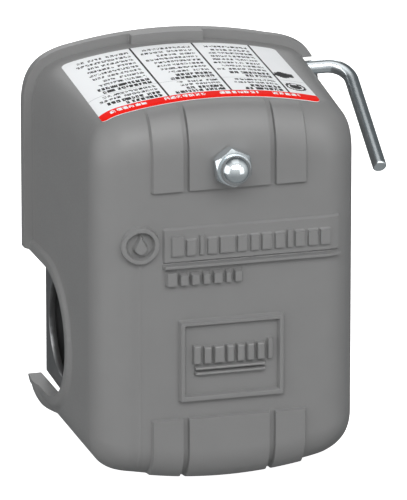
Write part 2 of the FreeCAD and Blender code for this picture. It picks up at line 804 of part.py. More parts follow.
def make_studs():
    def stud_rod(name, radius, first, last, x, z):
        return rod(name, radius, f"({last}) - ({first})", (x, front(first), z))

    x, z = "0", "stud_height"
    node("range_stud", fuse(
        "range_stud_solid",
        stud_rod("range_shank", "range_thread_radius", "0", "range_thread_end", x, z),
        stud_rod("range_collar", "stud_collar_radius", "sheet",
                 "sheet + stud_collar_height", x, z),
        stud_rod("range_tip", "tip_radius", "range_thread_end - 1", "tip_end", x, z)))

    web = "beam_depth + sheet"
    washer = stud_rod("seat_disc", "seat_radius", web, f"{web} + seat_thickness", x, z)
    lip = stud_rod("seat_spigot", "range_spring_radius - range_wire / 2 - spring_spigot_gap",
                   web, f"{web} + seat_thickness + seat_spigot_height", x, z)
    hole = stud_rod("seat_hole", "range_thread_radius + seat_hole_gap", web, "20", x, z)
    node("beam_spring_seat", cut("seat", fuse("seat_solid", washer, lip), hole))

    plate = stud_rod("range_plate", "seat_radius", "range_seat_depth",
                     "range_seat_depth + range_seat_thickness", x, z)
    hole = stud_rod("range_plate_hole", "range_thread_radius + running_gap",
                    "0", "range_thread_end + 5", x, z)
    node("range_spring_seat", cut("range_seat", plate, hole))

    nut_depth = "range_seat_depth + range_seat_thickness + rest_gap"
    hexed = hexagon("range_hex", "range_nut_flats", "range_nut_height",
                    (x, front(nut_depth), z))
    hole = stud_rod("range_nut_hole", "range_thread_radius + running_gap",
                    "0", "range_thread_end + 5", x, z)
    node("range_nut", cut("range_nut_solid", hexed, hole))

    x, z = "-differential_side", "differential_height"
    node("differential_stud", fuse(
        "differential_stud_solid",
        stud_rod("differential_shank", "differential_thread_radius", "0",
                 "differential_thread_end", x, z),
        stud_rod("differential_collar", "shoulder_radius", "sheet", "shoulder_depth", x, z)))
    disc = stud_rod("differential_disc", "differential_washer_radius", "shoulder_depth",
                    "shoulder_depth + seat_thickness", x, z)
    hole = stud_rod("differential_disc_hole", "differential_thread_radius + running_gap",
                    "0", "30", x, z)
    node("differential_washer", cut("differential_washer_solid", disc, hole))
    hexed = hexagon("differential_hex", "differential_nut_flats",
                    "differential_nut_height", (x, front("differential_nut_depth"), z))
    hole = stud_rod("differential_nut_hole", "differential_thread_radius + running_gap",
                    "0", "40", x, z)
    node("differential_nut", cut("differential_nut_solid", hexed, hole))


def spring_solid(name, radius, wire, turns, length, start, turn=FORWARD):
    """A coil spring: a round section swept along a helix and set in place."""
    room = length - wire - 2 * size("rest_gap")
    helix = Part.makeHelix(room / turns, room, radius)
    section = Part.Wire(Part.Circle(FreeCAD.Vector(radius, 0, 0), Y_AXIS, wire / 2).toShape())
    spring = doc.addObject("Part::Feature", name)
    spring.Shape = Part.Wire(helix.Edges).makePipeShell([section], True, True)
    lift = turn.multVec(FreeCAD.Vector(0, 0, wire / 2 + size("rest_gap")))
    spring.Placement = FreeCAD.Placement(FreeCAD.Vector(*start) + lift, turn)
    return node(name, spring)


def make_springs():
    rim = size("rim")
    web = size("beam_depth") + size("sheet")
    low = web + size("seat_thickness")
    spring_solid("range_spring", size("range_spring_radius"), size("range_wire"),
                 size("range_turns"), size("range_seat_depth") - low,
                 (0, -rim - low, size("stud_height")))
    low = size("shoulder_depth") + size("seat_thickness")
    spring_solid("differential_spring", size("differential_spring_radius"),
                 size("differential_wire"), size("differential_turns"),
                 size("differential_nut_depth") - low,
                 (-size("differential_side"), -rim - low, size("differential_height")))
    spring_solid("toggle_spring", size("toggle_spring_radius"), size("toggle_wire"),
                 size("toggle_turns"), size("carrier_depth") - 2 - web,
                 (0, -rim - web, 0))
    length = size("crank_place") - size("bracket_inner") - size("bracket_sheet") - 0.4
    spring_solid("lever_return_spring", size("lever_radius") + size("return_wire") / 2 + 0.35,
                 size("return_wire"), 2, length,
                 (size("bracket_inner") + size("bracket_sheet") + 0.2,
                  -rim - size("lever_depth"), size("lever_height")), ACROSS)


# ---------------------------------------------------------------- beam and piston

def make_beam():
    body = new_body("beam_body")
    outline = new_sketch(body, "web_outline", "XZ_Plane", "rim + beam_depth")
    polygon(outline, [("-beam_half", "-beam_bottom"), ("beam_half", "-beam_bottom"),
                      ("beam_half", "beam_top"), ("-beam_half", "beam_top"),
                      ("-beam_half", "differential_height + beam_tab_half"),
                      ("-differential_side - beam_tab", "differential_height + beam_tab_half"),
                      ("-differential_side - beam_tab", "differential_height - beam_tab_half"),
                      ("-beam_half", "differential_height - beam_tab_half")])
    feature(body, "Pad", "web", outline, Length="sheet")
    for side, sign in SIDES:
        flange = new_sketch(body, f"beam_flange_{side}", "YZ_Plane",
                            f"{sign} * (beam_half - sheet / 2) - sheet / 2")
        depth = "beam_depth + sheet"
        polygon(flange, [(front("beam_depth"), "-beam_bottom"),
                         (front(f"{depth} + beam_flange"), "-beam_bottom"),
                         (front(f"{depth} + beam_flange"), "-beam_pivot_drop + flange_step"),
                         (front(f"{depth} + beam_flange * flange_narrow"),
                          "-beam_pivot_drop + flange_slope"),
                         (front(f"{depth} + beam_flange * flange_narrow"), "beam_top"),
                         (front("beam_depth"), "beam_top")])
        feature(body, "Pad", f"flange_{side}", flange, Length="sheet")
    pivot = rod("beam_pivot_hole", "beam_pin_radius + running_gap", "2 * beam_half + 2",
                ("-beam_half - 1", front("beam_pivot_depth"), "-beam_pivot_drop"), ACROSS)
    stud = rod("beam_stud_hole", "range_thread_radius + beam_stud_gap", "20",
               ("0", front("0"), "stud_height"))
    second = rod("beam_second_hole", "shoulder_radius + beam_shoulder_gap", "20",
                 ("-differential_side", front("0"), "differential_height"))
    node("beam", cut("beam_solid", body, pivot, stud, second))

    puck = rod("piston_puck", "piston_radius", "piston_height",
               ("0", front("rest_gap"), "0"))
    nose = cone("piston_nose", "piston_nose_radius", "piston_tip_radius",
                "beam_depth - piston_height - 2 * rest_gap",
                ("0", front("rest_gap + piston_height"), "0"))
    node("piston", fuse("piston_solid", puck, nose))


# ---------------------------------------------------------------- contacts

POLES = (("1", -1.5), ("2", -0.5), ("3", 0.5), ("4", 1.5))


def make_contacts():
    body = layer("block_mass", ("-block_half", "block_half"), ("sheet", "block_front"),
                 ("-block_bottom", "-block_top"))
    extras = []
    for side, sign in SIDES:
        middle = f"{sign} * (block_half - block_lug / 2)"
        extras.append(layer(f"block_lug_{side}",
                            (f"{middle} - block_lug / 2", f"{middle} + block_lug / 2"),
                            ("carrier_depth - block_lug_half", "carrier_depth + block_lug_half"),
                            ("-block_top - 1", "-carrier_drop + block_lug_half")))
    for i in (-1, 0, 1):
        x = f"{i} * pole_pitch"
        extras.append(layer(f"barrier_{i + 2}", (f"{x} - barrier_half", f"{x} + barrier_half"),
                            ("block_front - 1", "block_front + barrier_front"),
                            ("-block_bottom", "-contact_drop - barrier_top_gap")))
    hollows = [rod("block_pin_hole", "carrier_pin_radius + running_gap",
                   "2 * block_half + 2",
                   ("-block_half - 1", front("carrier_depth"), "-carrier_drop"), ACROSS)]
    for side, sign in SIDES:
        hollows.append(rod(f"block_screw_hole_{side}", "fixing_hole_radius", "9",
                           (f"{sign} * fixing_place", front("sheet - 0.5"),
                            "-fixing_drop")))
        middle = f"{sign} * relief_place"
        hollows.append(layer(f"block_relief_{side}",
                             (f"{middle} - relief_half", f"{middle} + relief_half"),
                             ("sheet + relief_rear_gap", "block_front - relief_front_gap"),
                             ("-relief_bottom", "-relief_top")))
    for name, step in POLES:
        hollows.append(rod(f"terminal_hole_{name}", "terminal_screw_radius + running_gap",
                           "9", (f"{step} * pole_pitch",
                            front("block_front - terminal_hole_depth"),
                                 "-terminal_drop")))
    node("contact_block", cut("block", fuse("block_solid", body, *extras), *hollows))

    tips = []
    moving = []
    screws = []
    clamps = []
    face = "block_front + strip_thickness"
    for name, step in POLES:
        x = f"{step} * pole_pitch"
        sides = (f"{x} - strip_half", f"{x} + strip_half")
        hole = rod(f"strip_hole_{name}", "terminal_screw_radius + running_gap", "20",
                   (x, front("block_front - 5"), "-terminal_drop"))
        leaf = layer(f"strip_leaf_{name}", sides, ("block_front", face),
                     ("-block_bottom + 0.5", "-strip_top"))
        foot = layer(f"strip_foot_{name}", sides, ("block_front - 3", face),
                     ("-block_bottom - strip_thickness", "-block_bottom"))
        heel = layer(f"strip_heel_{name}", sides, ("block_front", face),
                     ("-block_bottom - strip_thickness", "-block_bottom + 1"))
        node(f"terminal_strip_{name}",
             cut(f"strip_{name}", fuse(f"strip_solid_{name}", leaf, foot, heel), hole))
        tips.append(rod(f"fixed_tip_{name}", "tip_disc_radius", "tip_disc_height",
                        (x, front(face), "-contact_drop")))
        gap = f"{face} + tip_disc_height + rest_gap"
        moving.append(rod(f"moving_tip_{name}", "tip_disc_radius", "bridge_thickness",
                          (x, front(gap), "-contact_drop")))
        saddle = layer(f"saddle_{name}", (f"{x} - strip_half + clamp_side_gap",
                                          f"{x} + strip_half - clamp_side_gap"),
                       (face, f"{face} + clamp_thickness"),
                       ("-terminal_drop - clamp_half", "-terminal_drop + clamp_half"))
        saddle_hole = rod(f"saddle_hole_{name}", "terminal_screw_radius + running_gap", "9",
                          (x, front("block_front"), "-terminal_drop"))
        clamps.append(cut(f"clamp_{name}", saddle, saddle_hole))
        head_depth = f"{face} + clamp_thickness"
        head = rod(f"terminal_head_{name}", "terminal_head_radius", "terminal_head_height",
                   (x, front(head_depth), "-terminal_drop"))
        slot = layer(f"terminal_slot_{name}", (f"{x} - 5", f"{x} + 5"),
                     (f"{head_depth} + terminal_head_height - terminal_slot_depth",
                      f"{head_depth} + terminal_head_height + 1"),
                     ("-terminal_drop - terminal_slot_half",
                      "-terminal_drop + terminal_slot_half"))
        shank = rod(f"terminal_shank_{name}", "terminal_screw_radius",
                    f"{head_depth} - block_front + terminal_shank_depth",
                    (x, front("block_front - terminal_shank_depth"), "-terminal_drop"))
        screws.append(cut(f"terminal_screw_{name}",
                          fuse(f"terminal_solid_{name}", head, shank), slot))
    node("fixed_contact_tips", group("fixed_tip_group", *tips))
    node("moving_contact_tips", group("moving_tip_group", *moving))
    node("terminal_clamps", group("clamp_group", *clamps))
    node("terminal_screws", group("terminal_screw_group", *screws))

    springs = []
    bridge_depth = f"{face} + tip_disc_height + rest_gap + bridge_thickness"
    for side, sign in SIDES:
        x = f"{sign} * pole_pitch"
        bar = layer(f"bridge_bar_{side}", (f"{x} - bridge_half", f"{x} + bridge_half"),
                    (bridge_depth, f"{bridge_depth} + bridge_thickness"),
                    ("-contact_drop - bridge_height_half",
                     "-contact_drop + bridge_height_half"))
        hole = rod(f"bridge_hole_{side}", "bridge_hole_radius", "9",
                   (x, front("block_front"), "-contact_drop"))
        node(f"bridge_contact_{side}", cut(f"bridge_{side}", bar, hole))
        sleeve = rod(f"bridge_sleeve_{side}", "bridge_spring_radius",
                     f"carrier_plate_depth - ({bridge_depth} + bridge_thickness)"
                     " - 2 * rest_gap",
                     (x, front(f"{bridge_depth} + bridge_thickness + rest_gap"),
                      "-contact_drop"))
        core = rod(f"bridge_core_{side}", "bridge_spring_bore", "9",
                   (x, front(bridge_depth), "-contact_drop"))
        springs.append(cut(f"bridge_spring_{side}", sleeve, core))
    node("bridge_springs", group("bridge_spring_group", *springs))

    bar = layer("carrier_bar", ("-carrier_half", "carrier_half"),
                ("carrier_depth - carrier_bar_half", "carrier_depth + carrier_bar_half"),
                ("-carrier_drop - carrier_bar_half", "-carrier_drop + carrier_bar_half"))
    arms = [layer(f"carrier_arm_{side}",
                  (f"{sign} * (carrier_half - carrier_arm_half) - carrier_arm_half",
                   f"{sign} * (carrier_half - carrier_arm_half) + carrier_arm_half"),
                  ("carrier_depth + 2", "carrier_plate_depth + carrier_plate_thickness"),
                  ("-carrier_drop - carrier_bar_half", "-carrier_drop + carrier_arm_top"))
            for side, sign in SIDES]
    plate = layer("carrier_plate", ("-carrier_half", "carrier_half"),
                  ("carrier_plate_depth", "carrier_plate_depth + carrier_plate_thickness"),
                  ("-carrier_plate_bottom", "-carrier_drop + carrier_arm_top"))
    horn = layer("carrier_horn", ("-horn_half", "horn_half"),
                 ("carrier_depth - horn_depth_half", "carrier_depth + horn_depth_half"),
                 ("-carrier_drop", "horn_top"))
    posts = [rod(f"carrier_post_{side}", "post_radius", "carrier_plate_depth - block_front - 2",
                 (f"{sign} * pole_pitch", front("block_front + post_start"), "-contact_drop"))
             for side, sign in SIDES]
    pin_hole = rod("carrier_pin_hole", "carrier_pin_radius + running_gap",
                   "2 * carrier_half + 2",
                   ("-carrier_half - 1", front("carrier_depth"), "-carrier_drop"), ACROSS)
    node("contact_carrier", cut("carrier", fuse("carrier_solid", bar, *arms, plate, horn,
                                                *posts), pin_hole))
    node("carrier_pivot_pin",
         rod("carrier_pin", "carrier_pin_radius", "2 * block_half + 0.8",
             ("-block_half - 0.4", front("carrier_depth"), "-carrier_drop"), ACROSS))


# ---------------------------------------------------------------- cut-off lever

def make_lever():
    straight = rod("lever_rod", "lever_radius", "lever_outer - lever_bend - lever_inner_end",
                   ("lever_inner_end", "0", "0"), ACROSS)
    bend = doc.addObject("Part::Torus", "lever_bend_torus")
    bind(bend, Radius1="lever_bend", Radius2="lever_radius")
    bend.Angle3 = 90
    place(bend, ("lever_outer - lever_bend", "-lever_bend", "0"))
    arm = rod("lever_arm_rod", "lever_radius", "lever_arm - lever_bend",
              ("lever_outer", "-lever_bend", "0"))
    lever = fuse("lever_solid", straight, bend, arm)
    slope = FreeCAD.Rotation(X_AXIS, size("lever_angle"))
    place(lever, ("0", front("lever_depth"), "lever_height"), slope)
    node("cutoff_lever", lever)

    hub = rod("crank_hub", "crank_hub_radius", "crank_thickness", ("crank_place", "0", "0"), ACROSS)
    blade = block("crank_blade", ("crank_place", "crank_place + crank_thickness"),
                  ("-crank_length", "0"), ("-crank_half", "crank_half"))
    nose = rod("crank_nose", "crank_half", "crank_thickness",
               ("crank_place", "-crank_length", "0"), ACROSS)
    hole = rod("crank_hole", "lever_radius + hub_fit", "10", ("crank_place - 2", "0", "0"),
               ACROSS)
    crank = cut("crank", fuse("crank_solid", hub, blade, nose), hole)
    place(crank, ("0", front("lever_depth"), "lever_height"),
          FreeCAD.Rotation(X_AXIS, size("lever_angle") + size("crank_drop")))
    node("lever_crank", crank)

    clip_place = "bracket_outer + bracket_sheet + clip_gap"
    disc = rod("clip_disc", "clip_radius", "clip_thickness", (clip_place, "0", "0"), ACROSS)
    clip_hole = rod("clip_hole", "lever_radius + hub_fit", "5", ("bracket_outer", "0", "0"),
                    ACROSS)
    mouth = block("clip_mouth", ("bracket_outer", "bracket_outer + 5"),
                  ("-clip_mouth_half", "clip_mouth_half"), ("-5", "-clip_mouth_top"))
    clip = cut("clip", disc, clip_hole, mouth)
    place(clip, ("0", front("lever_depth"), "lever_height"))
    node("lever_clip", clip)

    foot = layer("bracket_foot", ("bracket_inner", "bracket_outer + bracket_sheet"),
                 ("sheet", "sheet + bracket_foot_thickness"),
                 ("bracket_bottom", "lever_height - crank_slot_drop"))
    lugs = [layer(f"bracket_lug_{i}", (x, f"{x} + bracket_sheet"), ("sheet", "bracket_front"),
                  ("bracket_bottom", "lever_height + bracket_top"))
            for i, x in enumerate(("bracket_inner", "bracket_outer"), start=1)]
    bearing = rod("bracket_bearing", "lever_radius + running_gap", "20",
                  ("bracket_inner - 2", front("lever_depth"), "lever_height"), ACROSS)
    node("lever_bracket", cut("bracket", fuse("bracket_solid", foot, *lugs), bearing))


# ---------------------------------------------------------------- build and write

make_housing()
make_base()
make_cover()
make_studs()
make_springs()
make_beam()
make_contacts()
make_lever()
doc.recompute()

for thing in doc.Objects:
    if {"Invalid", "Error"} & set(thing.State):
        raise RuntimeError(f"{thing.Name} failed: {thing.State}")
for name, thing in subparts.items():
    if thing.Shape.isNull() or not thing.Shape.isValid() or thing.Shape.Volume <= 0:
        raise RuntimeError(f"{name} has no valid shape")

os.makedirs("parts", exist_ok=True)
for name, thing in subparts.items():
    thing.Shape.exportStep(os.path.join("parts", f"{name}.step"))
    solids = len(thing.Shape.Solids)
    print(f"{name}: {solids} solid(s), {thing.Shape.Volume:.0f} mm3")
print(len(subparts), "sub-parts")
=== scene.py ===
import json
import math
import random

import bmesh
import bpy
import numpy as np
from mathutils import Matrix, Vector


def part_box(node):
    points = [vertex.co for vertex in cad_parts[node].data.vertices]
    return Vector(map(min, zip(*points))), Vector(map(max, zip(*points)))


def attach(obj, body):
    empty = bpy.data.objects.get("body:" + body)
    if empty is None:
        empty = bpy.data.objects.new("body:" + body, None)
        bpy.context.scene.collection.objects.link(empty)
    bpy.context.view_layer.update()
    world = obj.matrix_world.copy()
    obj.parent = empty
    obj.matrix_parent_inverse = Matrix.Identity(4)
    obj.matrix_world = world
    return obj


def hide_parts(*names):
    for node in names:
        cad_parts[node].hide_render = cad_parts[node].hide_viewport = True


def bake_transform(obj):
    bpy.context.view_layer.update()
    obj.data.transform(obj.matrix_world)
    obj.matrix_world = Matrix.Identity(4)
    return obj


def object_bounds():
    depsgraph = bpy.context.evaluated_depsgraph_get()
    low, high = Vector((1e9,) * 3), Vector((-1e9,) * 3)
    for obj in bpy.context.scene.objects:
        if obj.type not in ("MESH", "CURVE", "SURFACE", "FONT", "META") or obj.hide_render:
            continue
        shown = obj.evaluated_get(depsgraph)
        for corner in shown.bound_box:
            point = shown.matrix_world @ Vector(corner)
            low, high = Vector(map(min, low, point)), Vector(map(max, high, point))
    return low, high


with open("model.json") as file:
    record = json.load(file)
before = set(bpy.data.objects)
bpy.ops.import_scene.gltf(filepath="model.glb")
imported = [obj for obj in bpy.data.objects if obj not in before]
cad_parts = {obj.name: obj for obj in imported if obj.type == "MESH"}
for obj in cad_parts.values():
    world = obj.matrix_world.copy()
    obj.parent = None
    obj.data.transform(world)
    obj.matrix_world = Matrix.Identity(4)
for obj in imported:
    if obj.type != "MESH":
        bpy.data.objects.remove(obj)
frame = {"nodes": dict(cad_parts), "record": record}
cad_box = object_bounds()

# Shapes are worked out in millimetres. "Depth" is the distance forward of the cover rim's
# plane, so y = -(RIM + depth); x points to the lever's side and z points up.
MM = 0.001
RIM = 32.0
scene = bpy.context.scene


# ---------------------------------------------------------------- materials

def shader_nodes(name):
    """A new material's node tree and its Principled shader."""
    material = bpy.data.materials.new(name)
    material.use_nodes = True
    tree = material.node_tree
    return material, tree, tree.nodes["Principled BSDF"]


def add_noise(tree, scale, detail=2.0, stretch=(1, 1, 1)):
    """A noise texture in object coordinates, in cycles per metre."""
    coords = tree.nodes.new("ShaderNodeTexCoord")
    mapping = tree.nodes.new("ShaderNodeMapping")
    mapping.inputs["Scale"].default_value = stretch
    noise = tree.nodes.new("ShaderNodeTexNoise")
    noise.inputs["Scale"].default_value = scale
    noise.inputs["Detail"].default_value = detail
    tree.links.new(coords.outputs["Object"], mapping.inputs["Vector"])
    tree.links.new(mapping.outputs["Vector"], noise.inputs["Vector"])
    return noise.outputs["Fac"]


def add_range(tree, value, low, high):
    """Spreads the middle of a noise value over a range."""
    spread = tree.nodes.new("ShaderNodeMapRange")
    for socket, number in zip(("From Min", "From Max", "To Min", "To Max"),
                              (0.3, 0.7, low, high)):
        spread.inputs[socket].default_value = number
    tree.links.new(value, spread.inputs["Value"])
    return spread.outputs["Result"]


def add_mix(tree, factor, first, second):
    """A blend of two colours."""
    mix = tree.nodes.new("ShaderNodeMix")
    mix.data_type = "RGBA"
    mix.inputs["A"].default_value = (*first, 1)
    mix.inputs["B"].default_value = (*second, 1)
    tree.links.new(factor, mix.inputs["Factor"])
    return mix.outputs["Result"]


def add_bump(tree, shader, height, strength, distance):
    """Raises a surface by a height value, up to a distance in millimetres."""
    bump = tree.nodes.new("ShaderNodeBump")
    bump.inputs["Strength"].default_value = strength
    bump.inputs["Distance"].default_value = distance * MM
    tree.links.new(height, bump.inputs["Height"])
    tree.links.new(bump.outputs["Normal"], shader.inputs["Normal"])


def surface(name, first, second, roughness, grain, bump, metallic=0.0, patch=120.0,
            specular=0.5, stretch=(1, 1, 1)):
    """A finish with slow colour changes, uneven gloss and a fine grain."""
    material, tree, shader = shader_nodes(name)
    slow = add_range(tree, add_noise(tree, patch, 3.0), 0.0, 1.0)
    tree.links.new(add_mix(tree, slow, first, second), shader.inputs["Base Color"])
    fine = add_noise(tree, grain, 3.0, stretch)
    gloss = add_range(tree, fine, roughness - 0.05, roughness + 0.05)
    tree.links.new(gloss, shader.inputs["Roughness"])
    shader.inputs["Metallic"].default_value = metallic
    shader.inputs["Specular IOR Level"].default_value = specular
    add_bump(tree, shader, fine, 0.5, bump)
    return material


def threaded(name, pitch):
    """Plated steel with thread ridges round the Y axis."""
    material = surface(name, (0.66, 0.67, 0.68), (0.6, 0.6, 0.61), 0.28, 3000, 0.01, 1.0)
    tree = material.node_tree
    shader = tree.nodes["Principled BSDF"]
    coords = tree.nodes.new("ShaderNodeTexCoord")
    wave = tree.nodes.new("ShaderNodeTexWave")
    wave.bands_direction = "Y"
    wave.wave_profile = "TRI"
    wave.inputs["Scale"].default_value = math.pi / (10 * pitch * MM)
    tree.links.new(coords.outputs["Object"], wave.inputs["Vector"])
    add_bump(tree, shader, wave.outputs["Fac"], 1.0, 0.5 * pitch)
    return material


MATERIALS = {
    "cover_plastic": surface("moulded_grey_plastic", (0.232, 0.232, 0.232),
                             (0.242, 0.242, 0.242), 0.42, 2600, 0.012, specular=0.45),
    "label_film": surface("label_white", (0.86, 0.88, 0.90), (0.88, 0.90, 0.92),
                          0.35, 1500, 0.002),
    "zinc_steel": surface("bright_zinc", (0.80, 0.84, 0.86), (0.72, 0.77, 0.80),
                          0.16, 900, 0.006, 1.0, patch=400),
    "plated_sheet": surface("plated_sheet", (0.30, 0.30, 0.30), (0.25, 0.25, 0.26),
                            0.42, 1800, 0.01, 0.85, patch=90, stretch=(1, 8, 1)),
    "cast_housing": surface("cast_housing", (0.42, 0.42, 0.43), (0.34, 0.34, 0.35),
                            0.46, 900, 0.05, 0.9, patch=70),
    "diaphragm_rubber": surface("black_rubber", (0.02, 0.02, 0.02), (0.03, 0.03, 0.03),
                                0.7, 1500, 0.02),
    "spring_steel": surface("spring_wire", (0.50, 0.49, 0.47), (0.42, 0.41, 0.40),
                            0.25, 2500, 0.01, 1.0, patch=300),
    "block_plastic": surface("black_phenolic", (0.018, 0.018, 0.019), (0.03, 0.03, 0.031),
                             0.38, 1400, 0.02, patch=500),
    "piston_plastic": surface("natural_nylon", (0.72, 0.68, 0.58), (0.66, 0.61, 0.50),
                              0.45, 1200, 0.01),
    "brass_strip": surface("brass", (0.72, 0.52, 0.24), (0.62, 0.43, 0.19),
                           0.28, 1600, 0.008, 1.0, stretch=(1, 1, 6)),
    "silver_tip": surface("silver", (0.86, 0.85, 0.82), (0.78, 0.76, 0.72),
                          0.22, 2000, 0.006, 1.0),
    "terminal_steel": surface("terminal_steel", (0.62, 0.61, 0.58), (0.54, 0.53, 0.50),
                              0.27, 1500, 0.01, 1.0),
    "ground_green": surface("green_screw", (0.03, 0.22, 0.07), (0.02, 0.17, 0.05),
                            0.34, 1500, 0.01, 0.3),
}
LABEL_INKS = [
    MATERIALS["label_film"],
    surface("label_red", (0.90, 0.008, 0.003), (0.94, 0.012, 0.005), 0.65, 1500, 0.002,
            specular=0.06),
    surface("label_black", (0.012, 0.012, 0.014), (0.02, 0.02, 0.022), 0.6, 1500, 0.002,
            specular=0.15),
    surface("label_grey", (0.42, 0.44, 0.46), (0.46, 0.48, 0.50), 0.5, 1500, 0.002,
            specular=0.2),
]
WHITE, RED, BLACK, GREY = range(len(LABEL_INKS))


# ---------------------------------------------------------------- mesh helpers

def to_frame(x, depth, z):
    """Points in the row frame, in metres, from x, depth and z in millimetres."""
    return np.stack([x, -(RIM + depth), z], -1).reshape(-1, 3) * MM


def make_piece(name, points, faces, materials, indices=None, sharp=35.0):
    """A mesh object with smooth faces and sharp edges above an angle in degrees."""
    mesh = bpy.data.meshes.new(name)
    mesh.from_pydata([tuple(p) for p in points], [], [tuple(f) for f in faces])
    for material in materials:
        mesh.materials.append(material)
    if indices is not None:
        mesh.polygons.foreach_set("material_index", indices)
    face_outward(mesh)
    finish_mesh(mesh, sharp)
    piece = bpy.data.objects.new(name, mesh)
    scene.collection.objects.link(piece)
    return piece


def face_outward(mesh):
    """Turns a closed mesh's faces round if they look inward."""
    work = bmesh.new()
    work.from_mesh(mesh)
    if work.calc_volume(signed=True) < 0:
        bmesh.ops.reverse_faces(work, faces=work.faces)
        work.to_mesh(mesh)
    work.free()


def finish_mesh(mesh, sharp):
    """Smooth faces with sharp edges above an angle in degrees."""
    mesh.validate()
    mesh.polygons.foreach_set("use_smooth", [True] * len(mesh.polygons))
    mesh.set_sharp_from_angle(angle=math.radians(sharp))
    mesh.update()


def tube_faces(rings, sides):
    """Quads between rings of points, with a cap on each end."""
    faces = []
    for i in range(rings - 1):
        a, b = i * sides, (i + 1) * sides
        for k in range(sides):
            n = (k + 1) % sides
            faces.append((a + k, a + n, b + n, b + k))
    faces.append(tuple(range(sides - 1, -1, -1)))
    faces.append(tuple((rings - 1) * sides + k for k in range(sides)))
    return faces


def sweep(path, radii, sides):
    """Points of a round section carried along a path, with no twist."""
    path = np.asarray(path, float)
    tangents = np.gradient(path, axis=0)
    tangents /= np.linalg.norm(tangents, axis=1)[:, None]
    side = np.cross(tangents[0], (0.31, 0.52, 0.8))
    angles = np.linspace(0, 2 * math.pi, sides, endpoint=False)
    points = []
    for centre, tangent, radius in zip(path, tangents, radii):
        side = side - tangent * np.dot(side, tangent)
        side /= np.linalg.norm(side)
        other = np.cross(tangent, side)
        for angle in angles:
            points.append(centre + radius * (math.cos(angle) * side + math.sin(angle) * other))
    return np.array(points)


def smoothstep(value, low, high):
    """Nought below low, one above high, and an even curve between."""
    t = np.clip((value - low) / (high - low), 0, 1)
    return t * t * (3 - 2 * t)


# ---------------------------------------------------------------- cover form

HALF_WIDTH = 29.75
DEEP = 52.5
TOP = 36.4
BOTTOM = -51.9
WALL = 2.0
SIDE_ROUND = 8.0
FRONT_ROUND = 8.5
TOP_ROUND = 11.0
BOTTOM_ROUND = 8.5
REAR_EXTRA_ROUND = 3.0
SIDE_DRAFT = 2.8
TOP_DRAFT = 0.5
BOTTOM_DRAFT = 1.0
TOP_ARCH = 101.0
BOTTOM_ARCH = 99.5
CROWN = -2.4
ARCH_LEFT_END = 20.0
ARCH_RIGHT_END = 24.0
ARCH_EASE = 5.0
CORNER_SWELL = 0.28
SIDE_ZONE = (18, 30)
TOP_ZONE = (18, 27)
BOTTOM_ZONE = (37, 45)
LOW_CORNER_ZONE = (20, 36)
SLOT_DROP = 25.9
SLOT_DEPTH = 14.1
SLOT_HALF = 15.2
STUD_HEIGHT = 23.0
STUD_HOLE_RADIUS = 2.35
LEVER_HEIGHT = 27.7
LEVER_DEPTH = 3.5
NOTCH_RADIUS = 2.1
RIB_HALF = 0.8
RIB_REAR = 1.65
RIB_FRONT = 14.0


def arch_drop(offset, radius):
    """How far an arched wall drops beside its crown, levelling off at the corners."""
    size = np.abs(offset)
    end = np.where(offset > 0, ARCH_RIGHT_END, ARCH_LEFT_END)
    eased = end + ARCH_EASE * (1 - np.exp((end - size) / ARCH_EASE))
    size = np.where(size > end, eased, size)
    return size * size / (2 * radius)


def cover_form(x, depth, z, inset=0.0):
    """Shapes points of a box to the cover: the shaped points and outward directions."""
    rear = 1 - np.clip(depth / DEEP, 0, 1)
    low = smoothstep(-z, *LOW_CORNER_ZONE)
    rx = SIDE_ROUND + REAR_EXTRA_ROUND * rear * low - inset
    ry = FRONT_ROUND - inset
    rz = np.where(z > 0, TOP_ROUND, BOTTOM_ROUND + REAR_EXTRA_ROUND * rear) - inset
    half, deep = HALF_WIDTH - inset, DEEP - inset
    qx = np.clip(x, -half + rx, half - rx)
    qd = np.minimum(depth, deep - ry)
    qz = np.clip(z, BOTTOM + inset + rz, TOP - inset - rz)
    v = np.stack([(x - qx) / rx, (depth - qd) / ry, (z - qz) / rz])
    v /= np.maximum(np.sqrt((v * v).sum(0)), 1e-9)
    swell = 1 + CORNER_SWELL * v[0] ** 2 * v[2] ** 2
    px = qx + rx * v[0] * swell
    pd = qd + ry * v[1]
    pz = qz + rz * v[2] * swell
    above, below = smoothstep(z, *TOP_ZONE), smoothstep(-z, *BOTTOM_ZONE)
    px = px + np.sign(px) * smoothstep(np.abs(px), *SIDE_ZONE) * SIDE_DRAFT * rear
    pz = pz + TOP_DRAFT * rear * above
    pz = pz - BOTTOM_DRAFT * rear * below
    pz = pz - arch_drop(px - CROWN, TOP_ARCH) * above
    pz = pz + arch_drop(px, BOTTOM_ARCH) * below
    out = np.stack([v[0] / rx, v[1] / ry, v[2] / rz])
    out /= np.maximum(np.sqrt((out * out).sum(0)), 1e-9)
    return px, pd, pz, out


